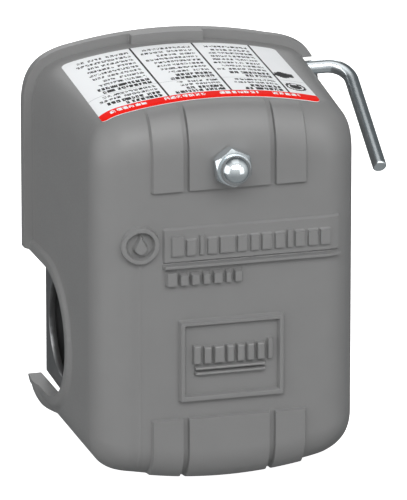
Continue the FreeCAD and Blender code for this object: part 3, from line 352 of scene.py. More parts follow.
def lattice_shell(xs, ds, zs):
    """A box's front, sides, top and bottom as a lattice, with one face across the rear."""
    nx, nd, nz = len(xs), len(ds), len(zs)
    used = np.zeros((nx, nd, nz), bool)
    used[[0, -1]] = True
    used[:, -1] = True
    used[:, :, [0, -1]] = True
    number = np.full(used.shape, -1)
    number[used] = np.arange(used.sum())
    i, j, k = np.nonzero(used)

    def quads(grid, flip):
        corners = [grid[:-1, :-1], grid[1:, :-1], grid[1:, 1:], grid[:-1, 1:]]
        faces = np.stack([c.ravel() for c in corners], -1)
        return faces[:, ::-1] if flip else faces

    faces = np.concatenate([
        quads(number[:, -1, :], False),
        quads(number[:, :, -1], True),
        quads(number[:, :, 0], False),
        quads(number[-1], True),
        quads(number[0], False),
    ]).tolist()
    rim = [number[0, 0, c] for c in range(nz - 1)]
    rim += [number[a, 0, nz - 1] for a in range(nx - 1)]
    rim += [number[nx - 1, 0, c] for c in range(nz - 1, 0, -1)]
    rim += [number[a, 0, 0] for a in range(nx - 1, 0, -1)]
    faces.append([int(n) for n in rim])
    return np.asarray(xs)[i], np.asarray(ds)[j], np.asarray(zs)[k], faces


def lines(*stretches):
    """Lattice lines from (start, spacing) pairs and a last end, evenly filled."""
    marks = []
    for (start, spacing), (end, _) in zip(stretches, stretches[1:]):
        count = max(1, round((end - start) / spacing))
        marks.extend(np.linspace(start, end, count, endpoint=False))
    marks.append(stretches[-1][0])
    return np.array(marks)


# ---------------------------------------------------------------- cover relief

EDGE = 0.12


def inside(distance, soft=EDGE):
    """One inside an outline, nought outside, with a soft moulded edge."""
    return smoothstep(distance, -soft, soft)


def bar(value, low, high):
    """One between two edges."""
    return inside(value - low) * inside(high - value)


def rectangle(x, z, left, right, bottom, top):
    """One inside a rectangle on the face."""
    return bar(x, left, right) * bar(z, bottom, top)


def blocks(x, z, pattern, left, gap, bottom, top):
    """A row of raised blocks with the widths and extra heights of a pattern."""
    total = np.zeros_like(x)
    for width, rise in pattern:
        total = np.maximum(total, rectangle(x, z, left, left + width, bottom, top + rise))
        left += width + gap
    return total


PAD_HEIGHT = 1.0
PAD_EDGES = ((-9.3, 9.3), (-17.6, -10.5), (10.5, 17.6))
PAD_TOP_LINE = 17.5
PAD_BOTTOM_LINE = -35.7
PAD_REAR = 45.8
PAD_FULL = 51.0
LIP = 2.0
LIP_FRONT = 2.4
TAB_FRONT = 4.2
TAB_EDGES = (-10, 7)
RIM_EDGE = 0.12
RIM_GAP = 0.3
SIDE_START = 24
COLLAR = 2.3
COLLAR_HEIGHT = 0.85
COLLAR_EDGE = 0.5
HOOK = 1.1
HOOK_TIP = 0.5
HOOK_LENGTH = 11.0
HOOK_TOP = (40, 41)
HOOK_FOOT = (46, 50)

# Marks on the face. A rectangle is its left, right, bottom and top; a row is its left edge,
# the gap between blocks, and its bottom and top.
RELIEF = 1.3
RING_PLACE = (-20.3, 5.7)
RING_RADII = (3.05, 4.25)
DROP_RADIUS = 1.5
DROP_TIP = 2.4
DROP_CENTRE = -0.5
PANEL = (-15, 25.5, 1.1, 8.9)
PANEL_RISE = 0.45
STRIPE = (-15, 25.5, -0.3, 0.6)
NAME_BLOCKS = ((2.9, 0.9), (2.3, 0), (1.2, 0.9), (2.3, 0), (3.4, 0), (2.3, 0), (2.1, 0),
               (2.3, 0), (2.3, 0), (1.2, 0.5), (2.3, 0), (2.3, 0), (2.3, 0))
NAME_ROW = (-13.4, 0.6, 2.6, 6.3)
SUB_BLOCKS = ((2.3, 0.7), (1.9, 0), (2.0, 0), (1.7, 0), (2.1, 0), (1.3, 0), (1.7, 0))
SUB_ROW = (-14.4, 0.7, -4.3, -1.7)
BADGE = (-11.4, 12.4, -31.5, -12.8)
BADGE_FIELD = (-10.2, 11.2, -30.3, -14.0)
BADGE_SINK = 0.9
BADGE_BLOCKS = ((1.7, 0.4), (1.7, 0), (2.3, 0), (1.7, 0), (1.6, 0), (1.7, 0), (1.7, 0),
                (1.1, 0.9))
BADGE_ROW = (-8.3, 0.65, -23.0, -19.1)
UNDERLINES = ((-7.9, 8.2, -24.3, -23.7), (-7.9, 8.2, -25.5, -24.9))


def pad_relief(x, depth, z):
    """The raised pads, which grow out of the rounding ahead of the label."""
    across = sum(bar(x, low, high) for low, high in PAD_EDGES)
    along = inside(z - PAD_TOP_LINE) + inside(PAD_BOTTOM_LINE - z)
    return PAD_HEIGHT * across * along * smoothstep(depth, PAD_REAR, PAD_FULL)


def drop_relief(across, along):
    """A drop with a round belly and straight sides up to its tip."""
    from_centre = along - DROP_CENTRE
    belly = np.sqrt(np.maximum(DROP_RADIUS ** 2 - np.minimum(from_centre, 0) ** 2, 0))
    taper = DROP_RADIUS * (DROP_TIP - along) / (DROP_TIP - DROP_CENTRE)
    return inside(np.where(from_centre < 0, belly, taper) - np.abs(across), 0.15)


def face_relief(x, z):
    """Raised marks on the front face: a ring with a drop, two name rows and a badge."""
    across, along = x - RING_PLACE[0], z - RING_PLACE[1]
    ring = bar(np.hypot(across, along), *RING_RADII)
    panel = PANEL_RISE * rectangle(x, z, *PANEL)
    name = np.maximum(panel, blocks(x, z, NAME_BLOCKS, *NAME_ROW))
    height = ring + drop_relief(across, along) + name + rectangle(x, z, *STRIPE)
    height = height + blocks(x, z, SUB_BLOCKS, *SUB_ROW)
    badge = rectangle(x, z, *BADGE) - BADGE_SINK * rectangle(x, z, *BADGE_FIELD)
    height = np.maximum(height, np.maximum(badge, blocks(x, z, BADGE_BLOCKS, *BADGE_ROW)))
    for underline in UNDERLINES:
        height = np.maximum(height, rectangle(x, z, *underline))
    return RELIEF * np.clip(height, 0, 1)


def rim_relief(x, depth, z):
    """The stepped lip round the rim above the side slots, with its wider tab on top."""
    on_tab = (x > TAB_EDGES[0]) & (x < TAB_EDGES[1]) & (z > 20)
    reach = np.where(on_tab, TAB_FRONT, LIP_FRONT)
    above_slot = z + SLOT_DROP - SLOT_HALF - RIM_GAP
    return LIP * inside(reach - depth, RIM_EDGE) * inside(above_slot, RIM_EDGE)


def slot_relief(depth, px, pd, pz):
    """The collar round each side slot, and the bulge of the hook that closes it below."""
    on_side = np.abs(px) > SIDE_START
    to_slot = np.hypot(np.maximum(pd - SLOT_DEPTH, 0), pz + SLOT_DROP) - SLOT_HALF
    collar = COLLAR_HEIGHT * inside(COLLAR - to_slot, COLLAR_EDGE)
    along = np.clip(depth / HOOK_LENGTH, 0, 1)
    hook = HOOK * np.sin(math.pi * along) + HOOK_TIP * (1 - along)
    hook = hook * smoothstep(-pz, *HOOK_TOP) * (1 - smoothstep(-pz, *HOOK_FOOT))
    return on_side * np.maximum(collar, hook)


def cover_relief(x, depth, z, px, pd, pz):
    """How far each point of the cover stands out from its plain form."""
    on_front = inside(depth - (DEEP - 0.5))
    total = pad_relief(x, depth, z) + face_relief(x, z) * on_front
    return total + np.maximum(rim_relief(x, depth, z), slot_relief(depth, px, pd, pz))


def boolean_result(base, cutters):
    """The base with the cutters taken away, as a new mesh; the helpers are removed."""
    for cutter in cutters:
        change = base.modifiers.new(cutter.name, "BOOLEAN")
        change.operation = "DIFFERENCE"
        change.solver = "MANIFOLD"
        change.object = cutter
    graph = bpy.context.evaluated_depsgraph_get()
    mesh = bpy.data.meshes.new_from_object(base.evaluated_get(graph))
    for helper in [base, *cutters]:
        bpy.data.objects.remove(helper)
    return mesh


def prism_x(name, outline, low, high):
    """A solid from an outline of (depth, z) points carried along x."""
    count = len(outline)
    depth = np.array([p[0] for p in outline] * 2)
    z = np.array([p[1] for p in outline] * 2)
    x = np.repeat([low, high], count)
    return make_piece(name, to_frame(x, depth, z), tube_faces(2, count), [])


def slot_outline(half, nose_depth, height, steps):
    """A slot with a round nose, open to behind the rim, as (depth, z) points."""
    behind = -3.0
    angles = np.linspace(-math.pi / 2, math.pi / 2, steps)
    points = [(behind, height - half)]
    points += [(nose_depth + half * math.cos(a), height + half * math.sin(a)) for a in angles]
    points.append((behind, height + half))
    return points


def outer_form():
    """The cover's outside, on a lattice that is finest where the relief has edges."""
    xs = lines((-HALF_WIDTH, 0.7), (-25, 0.2), (26.2, 0.7), (HALF_WIDTH, 0))
    ds = lines((0, 0.5), (2.1, 0.1), (2.7, 0.35), (4.0, 0.1), (4.4, 0.35), (19, 0.7),
               (45.5, 0.4), (51.9, 0.2), (DEEP, 0))
    zs = lines((BOTTOM, 0.6), (-44, 0.35), (-36.1, 0.1), (-35.3, 0.35), (-33, 0.2),
               (10.3, 0.6), (17.0, 0.1), (18.0, 0.6), (TOP, 0))
    x, depth, z, faces = lattice_shell(xs, ds, zs)
    px, pd, pz, out = cover_form(x, depth, z)
    rise = cover_relief(x, depth, z, px, pd, pz)
    points = to_frame(px + rise * out[0], pd + rise * out[1], pz + rise * out[2])
    return make_piece("cover_outer", points, faces, [])


def inner_form():
    """The cover's hollow, one wall's thickness inside its plain form."""
    half = HALF_WIDTH - WALL
    x, depth, z, faces = lattice_shell(lines((-half, 0.9), (half, 0)),
                                       lines((-1, 1.0), (DEEP - WALL, 0)),
                                       lines((BOTTOM + WALL, 0.9), (TOP - WALL, 0)))
    px, pd, pz, _ = cover_form(x, depth, z, WALL)
    return make_piece("cover_inner", to_frame(px, pd, pz), faces, [])


def stud_cutter(sides=64):
    """A round bar through the face, where the cap nut's stud passes."""
    angles = np.linspace(0, 2 * math.pi, sides, endpoint=False)
    x = STUD_HOLE_RADIUS * np.cos(angles)
    z = STUD_HOLE_RADIUS * np.sin(angles) + STUD_HEIGHT
    depth = np.repeat([DEEP + 7.5, DEEP - 10.5], sides)
    return make_piece("stud_cut", to_frame(np.tile(x, 2), depth, np.tile(z, 2)),
                      tube_faces(2, sides), [])


def make_cover():
    """The cover's shell, with its side slots, lever notch and stud hole cut out."""
    arch = prism_x("arch_cut", slot_outline(SLOT_HALF, SLOT_DEPTH, -SLOT_DROP, 72), -60, 60)
    notch = prism_x("notch_cut",
                    slot_outline(NOTCH_RADIUS, LEVER_DEPTH, LEVER_HEIGHT, 24), 20, 60)
    mesh = boolean_result(outer_form(), [inner_form(), arch, notch, stud_cutter()])
    mesh.name = "cover_shell"
    mesh.materials.clear()
    mesh.materials.append(MATERIALS["cover_plastic"])
    finish_mesh(mesh, 40)
    cover = bpy.data.objects.new("cover_shell", mesh)
    scene.collection.objects.link(cover)
    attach(cover, "cover")
    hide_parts("cover")


def make_cover_ribs():
    """Four ribs inside the cover, from their place in x and their lowest and highest z."""
    points, faces = [], []
    for place, low, high in ((-12, 31, 34.6), (12, 31, 34.0),
                             (-18, -50.2, -39), (18, -50.2, -39)):
        first = len(points)
        for depth in (RIB_REAR, RIB_FRONT):
            for x, z in ((place - RIB_HALF, low), (place + RIB_HALF, low),
                         (place + RIB_HALF, high), (place - RIB_HALF, high)):
                points.append(tuple(to_frame(*(np.array(v, float) for v in (x, depth, z)))[0]))
        faces += [tuple(first + n for n in face) for face in tube_faces(2, 4)]
    ribs = make_piece("cover_ribs", points, faces, [MATERIALS["cover_plastic"]])
    soften(ribs, 0.25)
    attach(ribs, "cover")


def soften(piece, width):
    """Rounded edges on a piece, in millimetres."""
    weld = piece.modifiers.new("weld", "WELD")
    weld.merge_threshold = 0.001 * MM
    bevel = piece.modifiers.new("bevel", "BEVEL")
    bevel.width = width * MM
    bevel.segments = 2
    bevel.limit_method = "ANGLE"
    bevel.angle_limit = math.radians(40)
    bevel.miter_outer = "MITER_ARC"
    bevel.harden_normals = True


# ---------------------------------------------------------------- label

LABEL_LEFT = -26.9
LABEL_RIGHT = 22.7
LABEL_REAR = 7.0
LABEL_FRONT = 46.0
LABEL_CORNER = 1.3
CELL = 0.22
COLUMN_LINES = (-11.0, 3.3, 16.5)
CROSS_LINE = 32.7
LINE_HALF = 0.09
BAND_REAR = 42.2
BAND_WORDS = ((-24.6, -16.2), (-12.4, -3.0), (0.2, 9.0), (12.4, 18.6))
BAND_PITCH = 1.4
BAND_LETTER = 1.05
LABEL_LIFT = 0.13
LABEL_SINK = -0.05
TEXT_MARGIN = 1.1
# Rows of marks: place, height and whether bold.
TEXT_ROWS = ((9.2, 1.2, False), (11.6, 1.2, False), (14.0, 1.2, False), (16.4, 1.2, False),
             (18.8, 1.2, False), (21.2, 1.2, False), (23.6, 1.2, False), (26.0, 1.2, False),
             (28.3, 1.6, True), (30.5, 1.6, True), (33.7, 1.2, False), (35.8, 1.2, False),
             (37.9, 1.7, True), (40.0, 1.7, True))


def top_surface(x, depth, lift):
    """Points on the cover's top at given x and depth, lifted off the plastic."""
    low = np.full_like(x, -HALF_WIDTH)
    high = np.full_like(x, HALF_WIDTH)
    level = np.full_like(x, TOP)
    for _ in range(40):
        middle = (low + high) / 2
        short = cover_form(middle, depth, level)[0] < x
        low, high = np.where(short, middle, low), np.where(short, high, middle)
    px, pd, pz, out = cover_form(low, depth, level)
    return px + lift * out[0], pd, pz + lift * out[2]


def print_row(draw, ink, x_cells, cells, left, right, density):
    """Fills one row of cells with word-like groups of short marks."""
    spot = right
    while spot - left > 1.0:
        end = max(left, spot - draw.uniform(2.5, 8.0))
        letter = spot
        while letter - end > 0.4:
            width = draw.uniform(0.55, 1.0)
            for row in cells:
                for column, x in enumerate(x_cells):
                    if letter - width < x < letter and draw.random() < density:
                        ink[column, row] = BLACK
            letter -= width + 0.2
        spot = end - draw.uniform(0.35, 0.55)


def label_lines():
    """Lines across the label at every edge of its rows, band and rounded corners."""
    marks = {LABEL_REAR, LABEL_FRONT, CROSS_LINE, CROSS_LINE + 2 * LINE_HALF, BAND_REAR}
    for place, height, _ in TEXT_ROWS:
        marks |= {round(place + height * n / 4, 4) for n in range(5)}
    marks |= {round(BAND_REAR + 0.7 + 0.4 * n, 4) for n in range(5)}
    for corner in (LABEL_REAR, LABEL_FRONT - LABEL_CORNER):
        marks |= {round(corner + LABEL_CORNER * n / 4, 4) for n in range(5)}
    ds = np.array(sorted(marks))
    ds = ds[np.insert(np.diff(ds) > 0.02, 0, True)]
    ds[-1] = LABEL_FRONT
    return ds


def pictogram(x, d):
    """A wavy blob and a ringed dot, in place of the label's two pictures."""
    across, along = (x - 19.2) / 2.6, (d - 28.6) / 2.3
    wobble = 0.45 * math.sin(5 * across) * math.cos(3 * along)
    blob = across ** 2 + along ** 2 < 0.75 + wobble
    size = ((x - 19.4) / 2.3) ** 2 + ((d - 37.2) / 2.7) ** 2
    return blob or (size < 1 and not 0.35 < size < 0.55)


def label_ink(middle_x, middle_d):
    """Which ink each cell of the label has."""
    ink = np.full((len(middle_x), len(middle_d)), WHITE)
    draw = random.Random(11)
    edges = (LABEL_LEFT, *COLUMN_LINES)
    for place, height, bold in TEXT_ROWS:
        cells = [n for n, d in enumerate(middle_d) if place < d < place + height]
        for left, right in zip(edges, edges[1:]):
            room = right - left - 2 * TEXT_MARGIN
            length = draw.uniform(0.6 if bold else 0.75, 1.0) * room
            print_row(draw, ink, middle_x, cells, right - TEXT_MARGIN - length,
                      right - TEXT_MARGIN, 0.9 if bold else 0.7)
    for n, d in enumerate(middle_d):
        for column, x in enumerate(middle_x):
            if abs(d - CROSS_LINE - LINE_HALF) < LINE_HALF + 0.01:
                ink[column, n] = GREY
            if pictogram(x, d):
                ink[column, n] = BLACK
        if d < BAND_REAR:
            for place in COLUMN_LINES:
                ink[np.abs(middle_x - place) < 2 * LINE_HALF, n] = BLACK
            continue
        ink[:, n] = RED
        if not BAND_REAR + 0.7 < d < BAND_REAR + 2.3:
            continue
        for left, right in BAND_WORDS:
            for column, x in enumerate(middle_x):
                in_letter = (x - left) % BAND_PITCH < BAND_LETTER
                if left < x < right and in_letter and draw.random() < 0.8:
                    ink[column, n] = WHITE
    return ink


def round_corners(grid_x, grid_d):
    """The label's grid with its corners pulled in to arcs."""
    middle_x, half_x = (LABEL_LEFT + LABEL_RIGHT) / 2, (LABEL_RIGHT - LABEL_LEFT) / 2
    middle_d, half_d = (LABEL_REAR + LABEL_FRONT) / 2, (LABEL_FRONT - LABEL_REAR) / 2
    u = np.maximum(np.abs(grid_x - middle_x) - half_x + LABEL_CORNER, 0) / LABEL_CORNER
    v = np.maximum(np.abs(grid_d - middle_d) - half_d + LABEL_CORNER, 0) / LABEL_CORNER
    shrink = np.where((u > 0) & (v > 0),
                      np.maximum(u, v) / np.maximum(np.hypot(u, v), 1e-9), 1.0)
    pull = (1 - shrink) * LABEL_CORNER
    return (grid_x - np.sign(grid_x - middle_x) * u * pull,
            grid_d - np.sign(grid_d - middle_d) * v * pull)


def make_label():
    """The printed film, as cells of ink on a thin sheet laid on the cover's top."""
    count = round((LABEL_RIGHT - LABEL_LEFT) / CELL)
    xs, ds = np.linspace(LABEL_LEFT, LABEL_RIGHT, count + 1), label_lines()
    ink = label_ink((xs[1:] + xs[:-1]) / 2, (ds[1:] + ds[:-1]) / 2)
    grid_x, grid_d = round_corners(*np.meshgrid(xs, ds, indexing="ij"))
    upper = to_frame(*top_surface(grid_x, grid_d, LABEL_LIFT))
    lower = to_frame(*top_surface(grid_x, grid_d, LABEL_SINK))
    nx, nd = grid_x.shape
    number = np.arange(nx * nd).reshape(nx, nd)
    top = np.stack([number[:-1, :-1], number[:-1, 1:], number[1:, 1:], number[1:, :-1]],
                   -1).reshape(-1, 4)
    faces = top.tolist() + (top[:, ::-1] + nx * nd).tolist()
    indices = ink.ravel().tolist() + [WHITE] * len(top)
    border = ([number[i, 0] for i in range(nx - 1, 0, -1)]
              + [number[0, j] for j in range(nd - 1)]
              + [number[i, nd - 1] for i in range(nx - 1)]
              + [number[nx - 1, j] for j in range(nd - 1, 0, -1)])
    for a, b in zip(border, border[1:] + border[:1]):
        faces.append((int(b), int(a), int(a) + nx * nd, int(b) + nx * nd))
        indices.append(WHITE)
    label = make_piece("warning_label_print", np.concatenate([upper, lower]), faces,
                       LABEL_INKS, indices, 60)
    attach(label, "cover")
    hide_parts("warning_label")


# ---------------------------------------------------------------- cap nut

NUT_FLAT = 3.97
NUT_BORE = 2.11
NUT_BORE_DEPTH = 5.2
HEX_HEIGHT = 3.6
LOWER_CHAMFER = 1.25
UPPER_CHAMFER = 0.85
BALL_RADIUS = 3.4
BALL_CENTRE = 4.3
NUT_TURN = math.radians(5)


def nut_rings():
    """The nut's profile: height, radius and whether the hexagon cuts it."""
    rings = [(NUT_BORE_DEPTH, 0.05, False), (NUT_BORE_DEPTH, NUT_BORE, False),
             (0.25, NUT_BORE, False), (0.0, NUT_BORE + 0.25, False), (0.0, 3.55, False)]
    for step in np.linspace(0, 1, 9):
        rings.append((0.02 + LOWER_CHAMFER * step, 3.6 + LOWER_CHAMFER * 0.9 * step, True))
    for step in np.linspace(0, 1, 9):
        drop = UPPER_CHAMFER * (1 - step)
        rings.append((HEX_HEIGHT - drop, 3.78 + drop, True))
    ball_start = math.sqrt(BALL_RADIUS ** 2 - (BALL_CENTRE - HEX_HEIGHT) ** 2)
    rings.append((HEX_HEIGHT + 0.02, ball_start + 0.1, False))
    first = math.asin((HEX_HEIGHT - BALL_CENTRE) / BALL_RADIUS)
    for angle in np.linspace(first, math.pi / 2 - 0.02, 26):
        rings.append((BALL_CENTRE + BALL_RADIUS * math.sin(angle) + 0.03,
                      BALL_RADIUS * math.cos(angle), False))
    return rings


def make_cap_nut(sides=144):
    """A domed cap nut: a hexagon with turned chamfers at both ends and a ball top."""
    seat = -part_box("cover_nut")[1].y / MM - RIM
    angles = np.linspace(0, 2 * math.pi, sides, endpoint=False)
    hexagon = NUT_FLAT / np.cos(np.radians((np.degrees(angles) - 30) % 60 - 30))
    rings = nut_rings()
    points = []
    for height, radius, cut in rings:
        reach = np.minimum(hexagon, radius) if cut else np.full(sides, radius)
        points.append(to_frame(reach * np.cos(angles + NUT_TURN), np.full(sides, seat + height),
                               reach * np.sin(angles + NUT_TURN) + STUD_HEIGHT))
    nut = make_piece("cap_nut", np.concatenate(points), tube_faces(len(rings), sides),
                     [MATERIALS["zinc_steel"]], sharp=24)
    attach(nut, "cover_nut")
    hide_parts("cover_nut")


# ---------------------------------------------------------------- lever

LEVER_RADIUS = 1.59
LEVER_BEND = 5.0
LEVER_INNER_END = 16.0
LEVER_CORNER = 40.7
LEVER_ARM = 31.8
LEVER_SLOPE = math.radians(29.7)


def make_lever(sides=48):
    """The bent rod: straight out through the notch, round the bend, then forward and down."""
    across = np.array([1.0, 0.0, 0.0])
    forward = np.array([0.0, math.cos(LEVER_SLOPE), -math.sin(LEVER_SLOPE)])
    inner = np.array([LEVER_INNER_END, LEVER_DEPTH, LEVER_HEIGHT])
    corner = np.array([LEVER_CORNER, LEVER_DEPTH, LEVER_HEIGHT])
    centre = corner - across * LEVER_BEND + forward * LEVER_BEND
    path = [inner + across * step for step in (0.0, 0.12, 0.25, 0.5, 3, 8, 14, 18)]
    for angle in np.linspace(0, math.pi / 2, 25):
        path.append(centre + LEVER_BEND * (across * math.sin(angle)
                                           - forward * math.cos(angle)))
    for step in (7, 12, 20, 28, LEVER_ARM - 0.5, LEVER_ARM - 0.25, LEVER_ARM - 0.12, LEVER_ARM):
        path.append(corner + forward * step)
    radii = np.full(len(path), LEVER_RADIUS)
    radii[[0, -1]] -= 0.2
    radii[[1, -2]] -= 0.07
    points = sweep(path, radii, sides)
    lever = make_piece("lever_rod", to_frame(points[:, 0], points[:, 1], points[:, 2]),
                       tube_faces(len(path), sides), [MATERIALS["zinc_steel"]], sharp=38)
    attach(lever, "cutoff_lever")
    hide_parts("cutoff_lever")


# ---------------------------------------------------------------- springs

def coil_path(radius, wire, length, turns, closed=0.9):
    """Points of a compression spring along +w with closed ends, from nought to length."""
    turn = np.linspace(0, turns, int(turns * 30))
    end = closed * wire * 0.98
    pitch = (length - wire - 2 * end) / (turns - 2 * closed)
    height = np.interp(turn, [0, closed, turns - closed, turns],
                       [0, end, length - wire - end, length - wire])
    if pitch > wire:
        height = np.convolve(np.pad(height, 4, mode="edge"), np.ones(9) / 9, "valid")
    angle = 2 * math.pi * turn
    return (radius * np.cos(angle), radius * np.sin(angle), height + wire / 2)


def spring_piece(name, replaced, base, path, wire, sides=12):
    """A round wire along a path of x, depth and z, attached to a named body, or fixed in place
    when the bodies come as a tuple.
    """
    points = sweep(np.stack(path, -1), np.full(len(path[0]), wire / 2), sides)
    piece = make_piece(name, to_frame(points[:, 0], points[:, 1], points[:, 2]),
                       tube_faces(len(path[0]), sides), [MATERIALS["spring_steel"]])
    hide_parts(replaced)
    if isinstance(base, str):
        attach(piece, base)
    else:
        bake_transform(piece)


def make_split_spring(name, place, low, high, radius, wire, turns, ends):
    """A spring between two moving bodies, in halves that meet on the base."""
    x0, z0 = place
    a, b, w = coil_path(radius, wire, high - low, turns)
    path = (x0 + a, low + w, z0 + b)
    half = len(w) // 2
    middle = (low + high) / 2
    points = [(x0, -(RIM + d), z0) for d in (low + wire, middle, high - wire)]
    spring_piece(f"{name}_near", name, (ends[0], "base", points[0], points[1]),
                 tuple(p[:half + 1] for p in path), wire)
    spring_piece(f"{name}_far", name, ("base", ends[1], points[1], points[2]),
                 tuple(p[half:] for p in path), wire)


def make_springs():
    """The range, toggle, differential, lever and bridge springs as coils."""
    make_split_spring("range_spring", (0, STUD_HEIGHT), 8.45, 25.95, 8.4, 2.2, 5.2,
                      ("beam", "range_seat"))
    make_split_spring("toggle_spring", (0, 0), 7.25, 15.95, 2.1, 0.7, 7,
                      ("beam", "carrier"))
    low, high = 9.85, 21.55
    a, b, w = coil_path(4.6, 1.2, high - low, 6.5)
    side, height = -22.3, 8.0
    spring_piece("differential_coil", "differential_spring",
                 ("base", "differential_nut", (side, -(RIM + low + 1), height),
                  (side, -(RIM + high - 1), height)),
                 (side + a, low + w, height + b), 1.2)
    inner, outer = 18.2, 20.3
    a, b, w = coil_path(2.24, 0.6, outer - inner, 3, 0.3)
    spring_piece("lever_coil", "lever_return_spring",
                 ("base", "cutoff_lever", (inner, -(RIM + LEVER_DEPTH), LEVER_HEIGHT),
                  (outer, -(RIM + LEVER_DEPTH), LEVER_HEIGHT)),
                 (inner + w, LEVER_DEPTH + a, LEVER_HEIGHT + b), 0.55)
    low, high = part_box("bridge_springs")
    near, far = -high.y / MM - RIM, -low.y / MM - RIM
    for side, sign in (("left", -1), ("right", 1)):
        a, b, w = coil_path(1.92, 0.62, far - near, 4)
        spring_piece(f"bridge_coil_{side}", "bridge_springs", "carrier",
                     (sign * 11 + a, near + w, -21 + b), 0.62)


# ---------------------------------------------------------------- port thread

def make_port_thread():
    """The thread's ridges inside the pressure port."""
    turns, pitch, radius, ridge = 9.2, 1.41, 5.78, 0.42
    angle = np.linspace(0, 2 * math.pi * turns, int(turns * 40))
    depth = -RIM + 0.8 + pitch * angle / (2 * math.pi)
    points = sweep(np.stack([radius * np.cos(angle), depth, radius * np.sin(angle)], -1),
                   np.full(len(angle), ridge), 6)
    thread = make_piece("port_thread", to_frame(points[:, 0], points[:, 1], points[:, 2]),
                        tube_faces(len(angle), 6), [MATERIALS["cast_housing"]], sharp=25)
    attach(thread, "base")


# ---------------------------------------------------------------- CAD nodes

# Width in millimetres of each CAD node's rounded edges.
EDGE_WIDTHS = {
    "base_frame": 0.12, "diaphragm_housing": 0.8, "diaphragm": 0.2, "housing_screws": 0.3,
    "contact_block": 0.35, "contact_carrier": 0.3, "beam": 0.25, "beam_spring_seat": 0.2,
    "range_spring_seat": 0.3, "range_nut": 0.3, "differential_nut": 0.3,
    "differential_washer": 0.2, "lever_bracket": 0.25, "lever_crank": 0.2,
    "lever_clip": 0.12, "terminal_strip_1": 0.15, "terminal_strip_2": 0.15,
    "terminal_strip_3": 0.15, "terminal_strip_4": 0.15, "terminal_screws": 0.2,
    "terminal_clamps": 0.15, "ground_screws": 0.25, "block_screws": 0.25,
    "bridge_contact_left": 0.12, "bridge_contact_right": 0.12, "piston": 0.25,
}


def dress_cad_nodes():
    """Gives each CAD node its material and rounded edges."""
    studs = {"range_stud": threaded("range_thread", 1.3),
             "differential_stud": threaded("differential_thread", 1.0)}
    slots = {part["node"]: part["material_slot"] for part in frame["record"]["subparts"]}
    for name, piece in frame["nodes"].items():
        piece.data.materials.clear()
        piece.data.materials.append(studs.get(name) or MATERIALS[slots[name]])
        if name in EDGE_WIDTHS and not piece.hide_render:
            soften(piece, EDGE_WIDTHS[name])


# ---------------------------------------------------------------- studio

LIGHT_TARGET = (0, -0.055, -0.008)
CAMERA_TARGET = (0, -0.032, -0.008)
CAMERA_AZIMUTH = -14.8
CAMERA_ELEVATION = 18.7
CAMERA_DISTANCE = 1.818
CAMERA_LENS = 576
CAMERA_RIGHT = 0.00777
CAMERA_DOWN = 0.00602


def make_floor():
    """A pale, self-lit floor just under the part."""
    level = cad_box[0].z - 0.0008
    corners = [(-4, -4, level), (4, -4, level), (4, 4, level), (-4, 4, level)]
    floor = make_piece("studio_floor", corners, [(0, 1, 2, 3)], [])
    material, tree, shader = shader_nodes("pale_floor")
    tone = add_range(tree, add_noise(tree, 3.0), 0.92, 0.96)
    tree.links.new(add_mix(tree, tone, (0.9, 0.9, 0.9), (0.95, 0.95, 0.95)),
                   shader.inputs["Base Color"])
    shader.inputs["Roughness"].default_value = 0.9
    shader.inputs["Emission Color"].default_value = (1, 1, 1, 1)
    shader.inputs["Emission Strength"].default_value = 1.0
    floor.data.materials.append(material)
    floor.visible_diffuse = False
    floor.visible_glossy = False


def direction(azimuth, elevation):
    """A unit vector away from the object: degrees round from its front, and up."""
    a, e = math.radians(azimuth), math.radians(elevation)
    return Vector((math.sin(a) * math.cos(e), -math.cos(a) * math.cos(e), math.sin(e)))


def make_light(name, azimuth, elevation, distance, size, strength, mirrored=True):
    """A softbox aimed at the object; strength is relative irradiance at the object."""
    light = bpy.data.lights.new(name, "AREA")
    light.shape = "RECTANGLE"
    light.size, light.size_y = size
    light.energy = strength * math.pi ** 2 * distance ** 2
    lamp = bpy.data.objects.new(name, light)
    scene.collection.objects.link(lamp)
    back = direction(azimuth, elevation)
    lamp.location = Vector(LIGHT_TARGET) + back * distance
    lamp.rotation_mode = "QUATERNION"
    lamp.rotation_quaternion = back.to_track_quat("Z", "Y")
    lamp.visible_glossy = mirrored


def add_world_range(tree, value, low, high, first, second):
    """A smooth change from the first number to the second as the value goes low to high."""
    spread = tree.nodes.new("ShaderNodeMapRange")
    spread.interpolation_type = "SMOOTHSTEP"
    for socket, number in zip(("From Min", "From Max", "To Min", "To Max"),
                              (low, high, first, second)):
        spread.inputs[socket].default_value = number
    tree.links.new(value, spread.inputs["Value"])
    return spread.outputs["Result"]


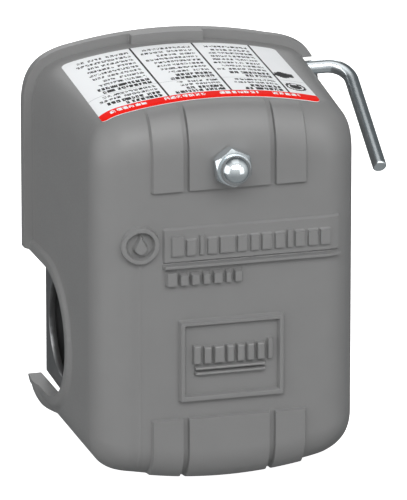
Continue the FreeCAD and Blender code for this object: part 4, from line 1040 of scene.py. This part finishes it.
def make_world():
    """Even soft light, a white backdrop, and pale walls in front for metal to mirror."""
    world = bpy.data.worlds.new("studio")
    scene.world = world
    world.use_nodes = True
    tree = world.node_tree
    ambient = tree.nodes["Background"]
    ambient.inputs["Color"].default_value = (0.30, 0.30, 0.30, 1)
    white = tree.nodes.new("ShaderNodeBackground")
    white.inputs["Color"].default_value = (1, 1, 1, 1)
    walls = tree.nodes.new("ShaderNodeBackground")
    coords = tree.nodes.new("ShaderNodeTexCoord")
    axes = tree.nodes.new("ShaderNodeSeparateXYZ")
    tree.links.new(coords.outputs["Generated"], axes.inputs["Vector"])
    front = add_world_range(tree, axes.outputs["Y"], -0.35, 0.35, 1.0, 0.0)
    above = add_world_range(tree, axes.outputs["Z"], -0.7, 0.6, 0.25, 1.0)
    bright = tree.nodes.new("ShaderNodeMath")
    bright.operation = "MULTIPLY"
    tree.links.new(front, bright.inputs[0])
    tree.links.new(above, bright.inputs[1])
    shade = add_mix(tree, bright.outputs["Value"], (0.115, 0.125, 0.13), (0.80, 0.82, 0.82))
    tree.links.new(shade, walls.inputs["Color"])
    path = tree.nodes.new("ShaderNodeLightPath")
    seen = ambient.outputs[0]
    for ray, background in (("Is Glossy Ray", walls), ("Is Camera Ray", white)):
        mix = tree.nodes.new("ShaderNodeMixShader")
        tree.links.new(path.outputs[ray], mix.inputs["Fac"])
        tree.links.new(seen, mix.inputs[1])
        tree.links.new(background.outputs[0], mix.inputs[2])
        seen = mix.outputs[0]
    tree.links.new(seen, tree.nodes["World Output"].inputs["Surface"])


def make_lights():
    """Softboxes: azimuth, elevation, distance, size and strength of each."""
    make_light("key", -5, 41, 0.9, (1.0, 0.4), 0.66)
    make_light("overhead", 0, 86, 0.9, (0.7, 0.5), 0.06)
    make_light("front_right", 36, 10, 1.0, (0.6, 0.8), 0.14)
    make_light("left_fill", -80, 12, 0.9, (0.8, 0.8), 0.30)
    make_light("low_fill", -25, -42, 1.0, (1.0, 0.4), 0.23, mirrored=False)
    make_light("rear_fill", 175, 30, 1.0, (0.8, 0.6), 0.24)


def make_camera():
    """The camera that took the photo, as nearly as could be fitted."""
    turn = math.radians(CAMERA_AZIMUTH)
    back = direction(CAMERA_AZIMUTH, CAMERA_ELEVATION)
    right = Vector((math.cos(turn), math.sin(turn), 0))
    up = back.cross(right)
    data = bpy.data.cameras.new("camera")
    data.sensor_width = 36
    data.lens = CAMERA_LENS
    data.clip_end = 100
    camera = bpy.data.objects.new("camera", data)
    scene.collection.objects.link(camera)
    target = Vector(CAMERA_TARGET) + right * CAMERA_RIGHT - up * CAMERA_DOWN
    camera.location = target + back * CAMERA_DISTANCE
    camera.rotation_mode = "QUATERNION"
    camera.rotation_quaternion = (-back).to_track_quat("-Z", "Y")
    scene.camera = camera


scene.view_settings.view_transform = "Standard"
make_camera()
make_cover()
make_cover_ribs()
make_label()
make_cap_nut()
make_lever()
make_springs()
make_port_thread()
dress_cad_nodes()
make_floor()
make_world()
make_lights()

bpy.context.view_layer.update()
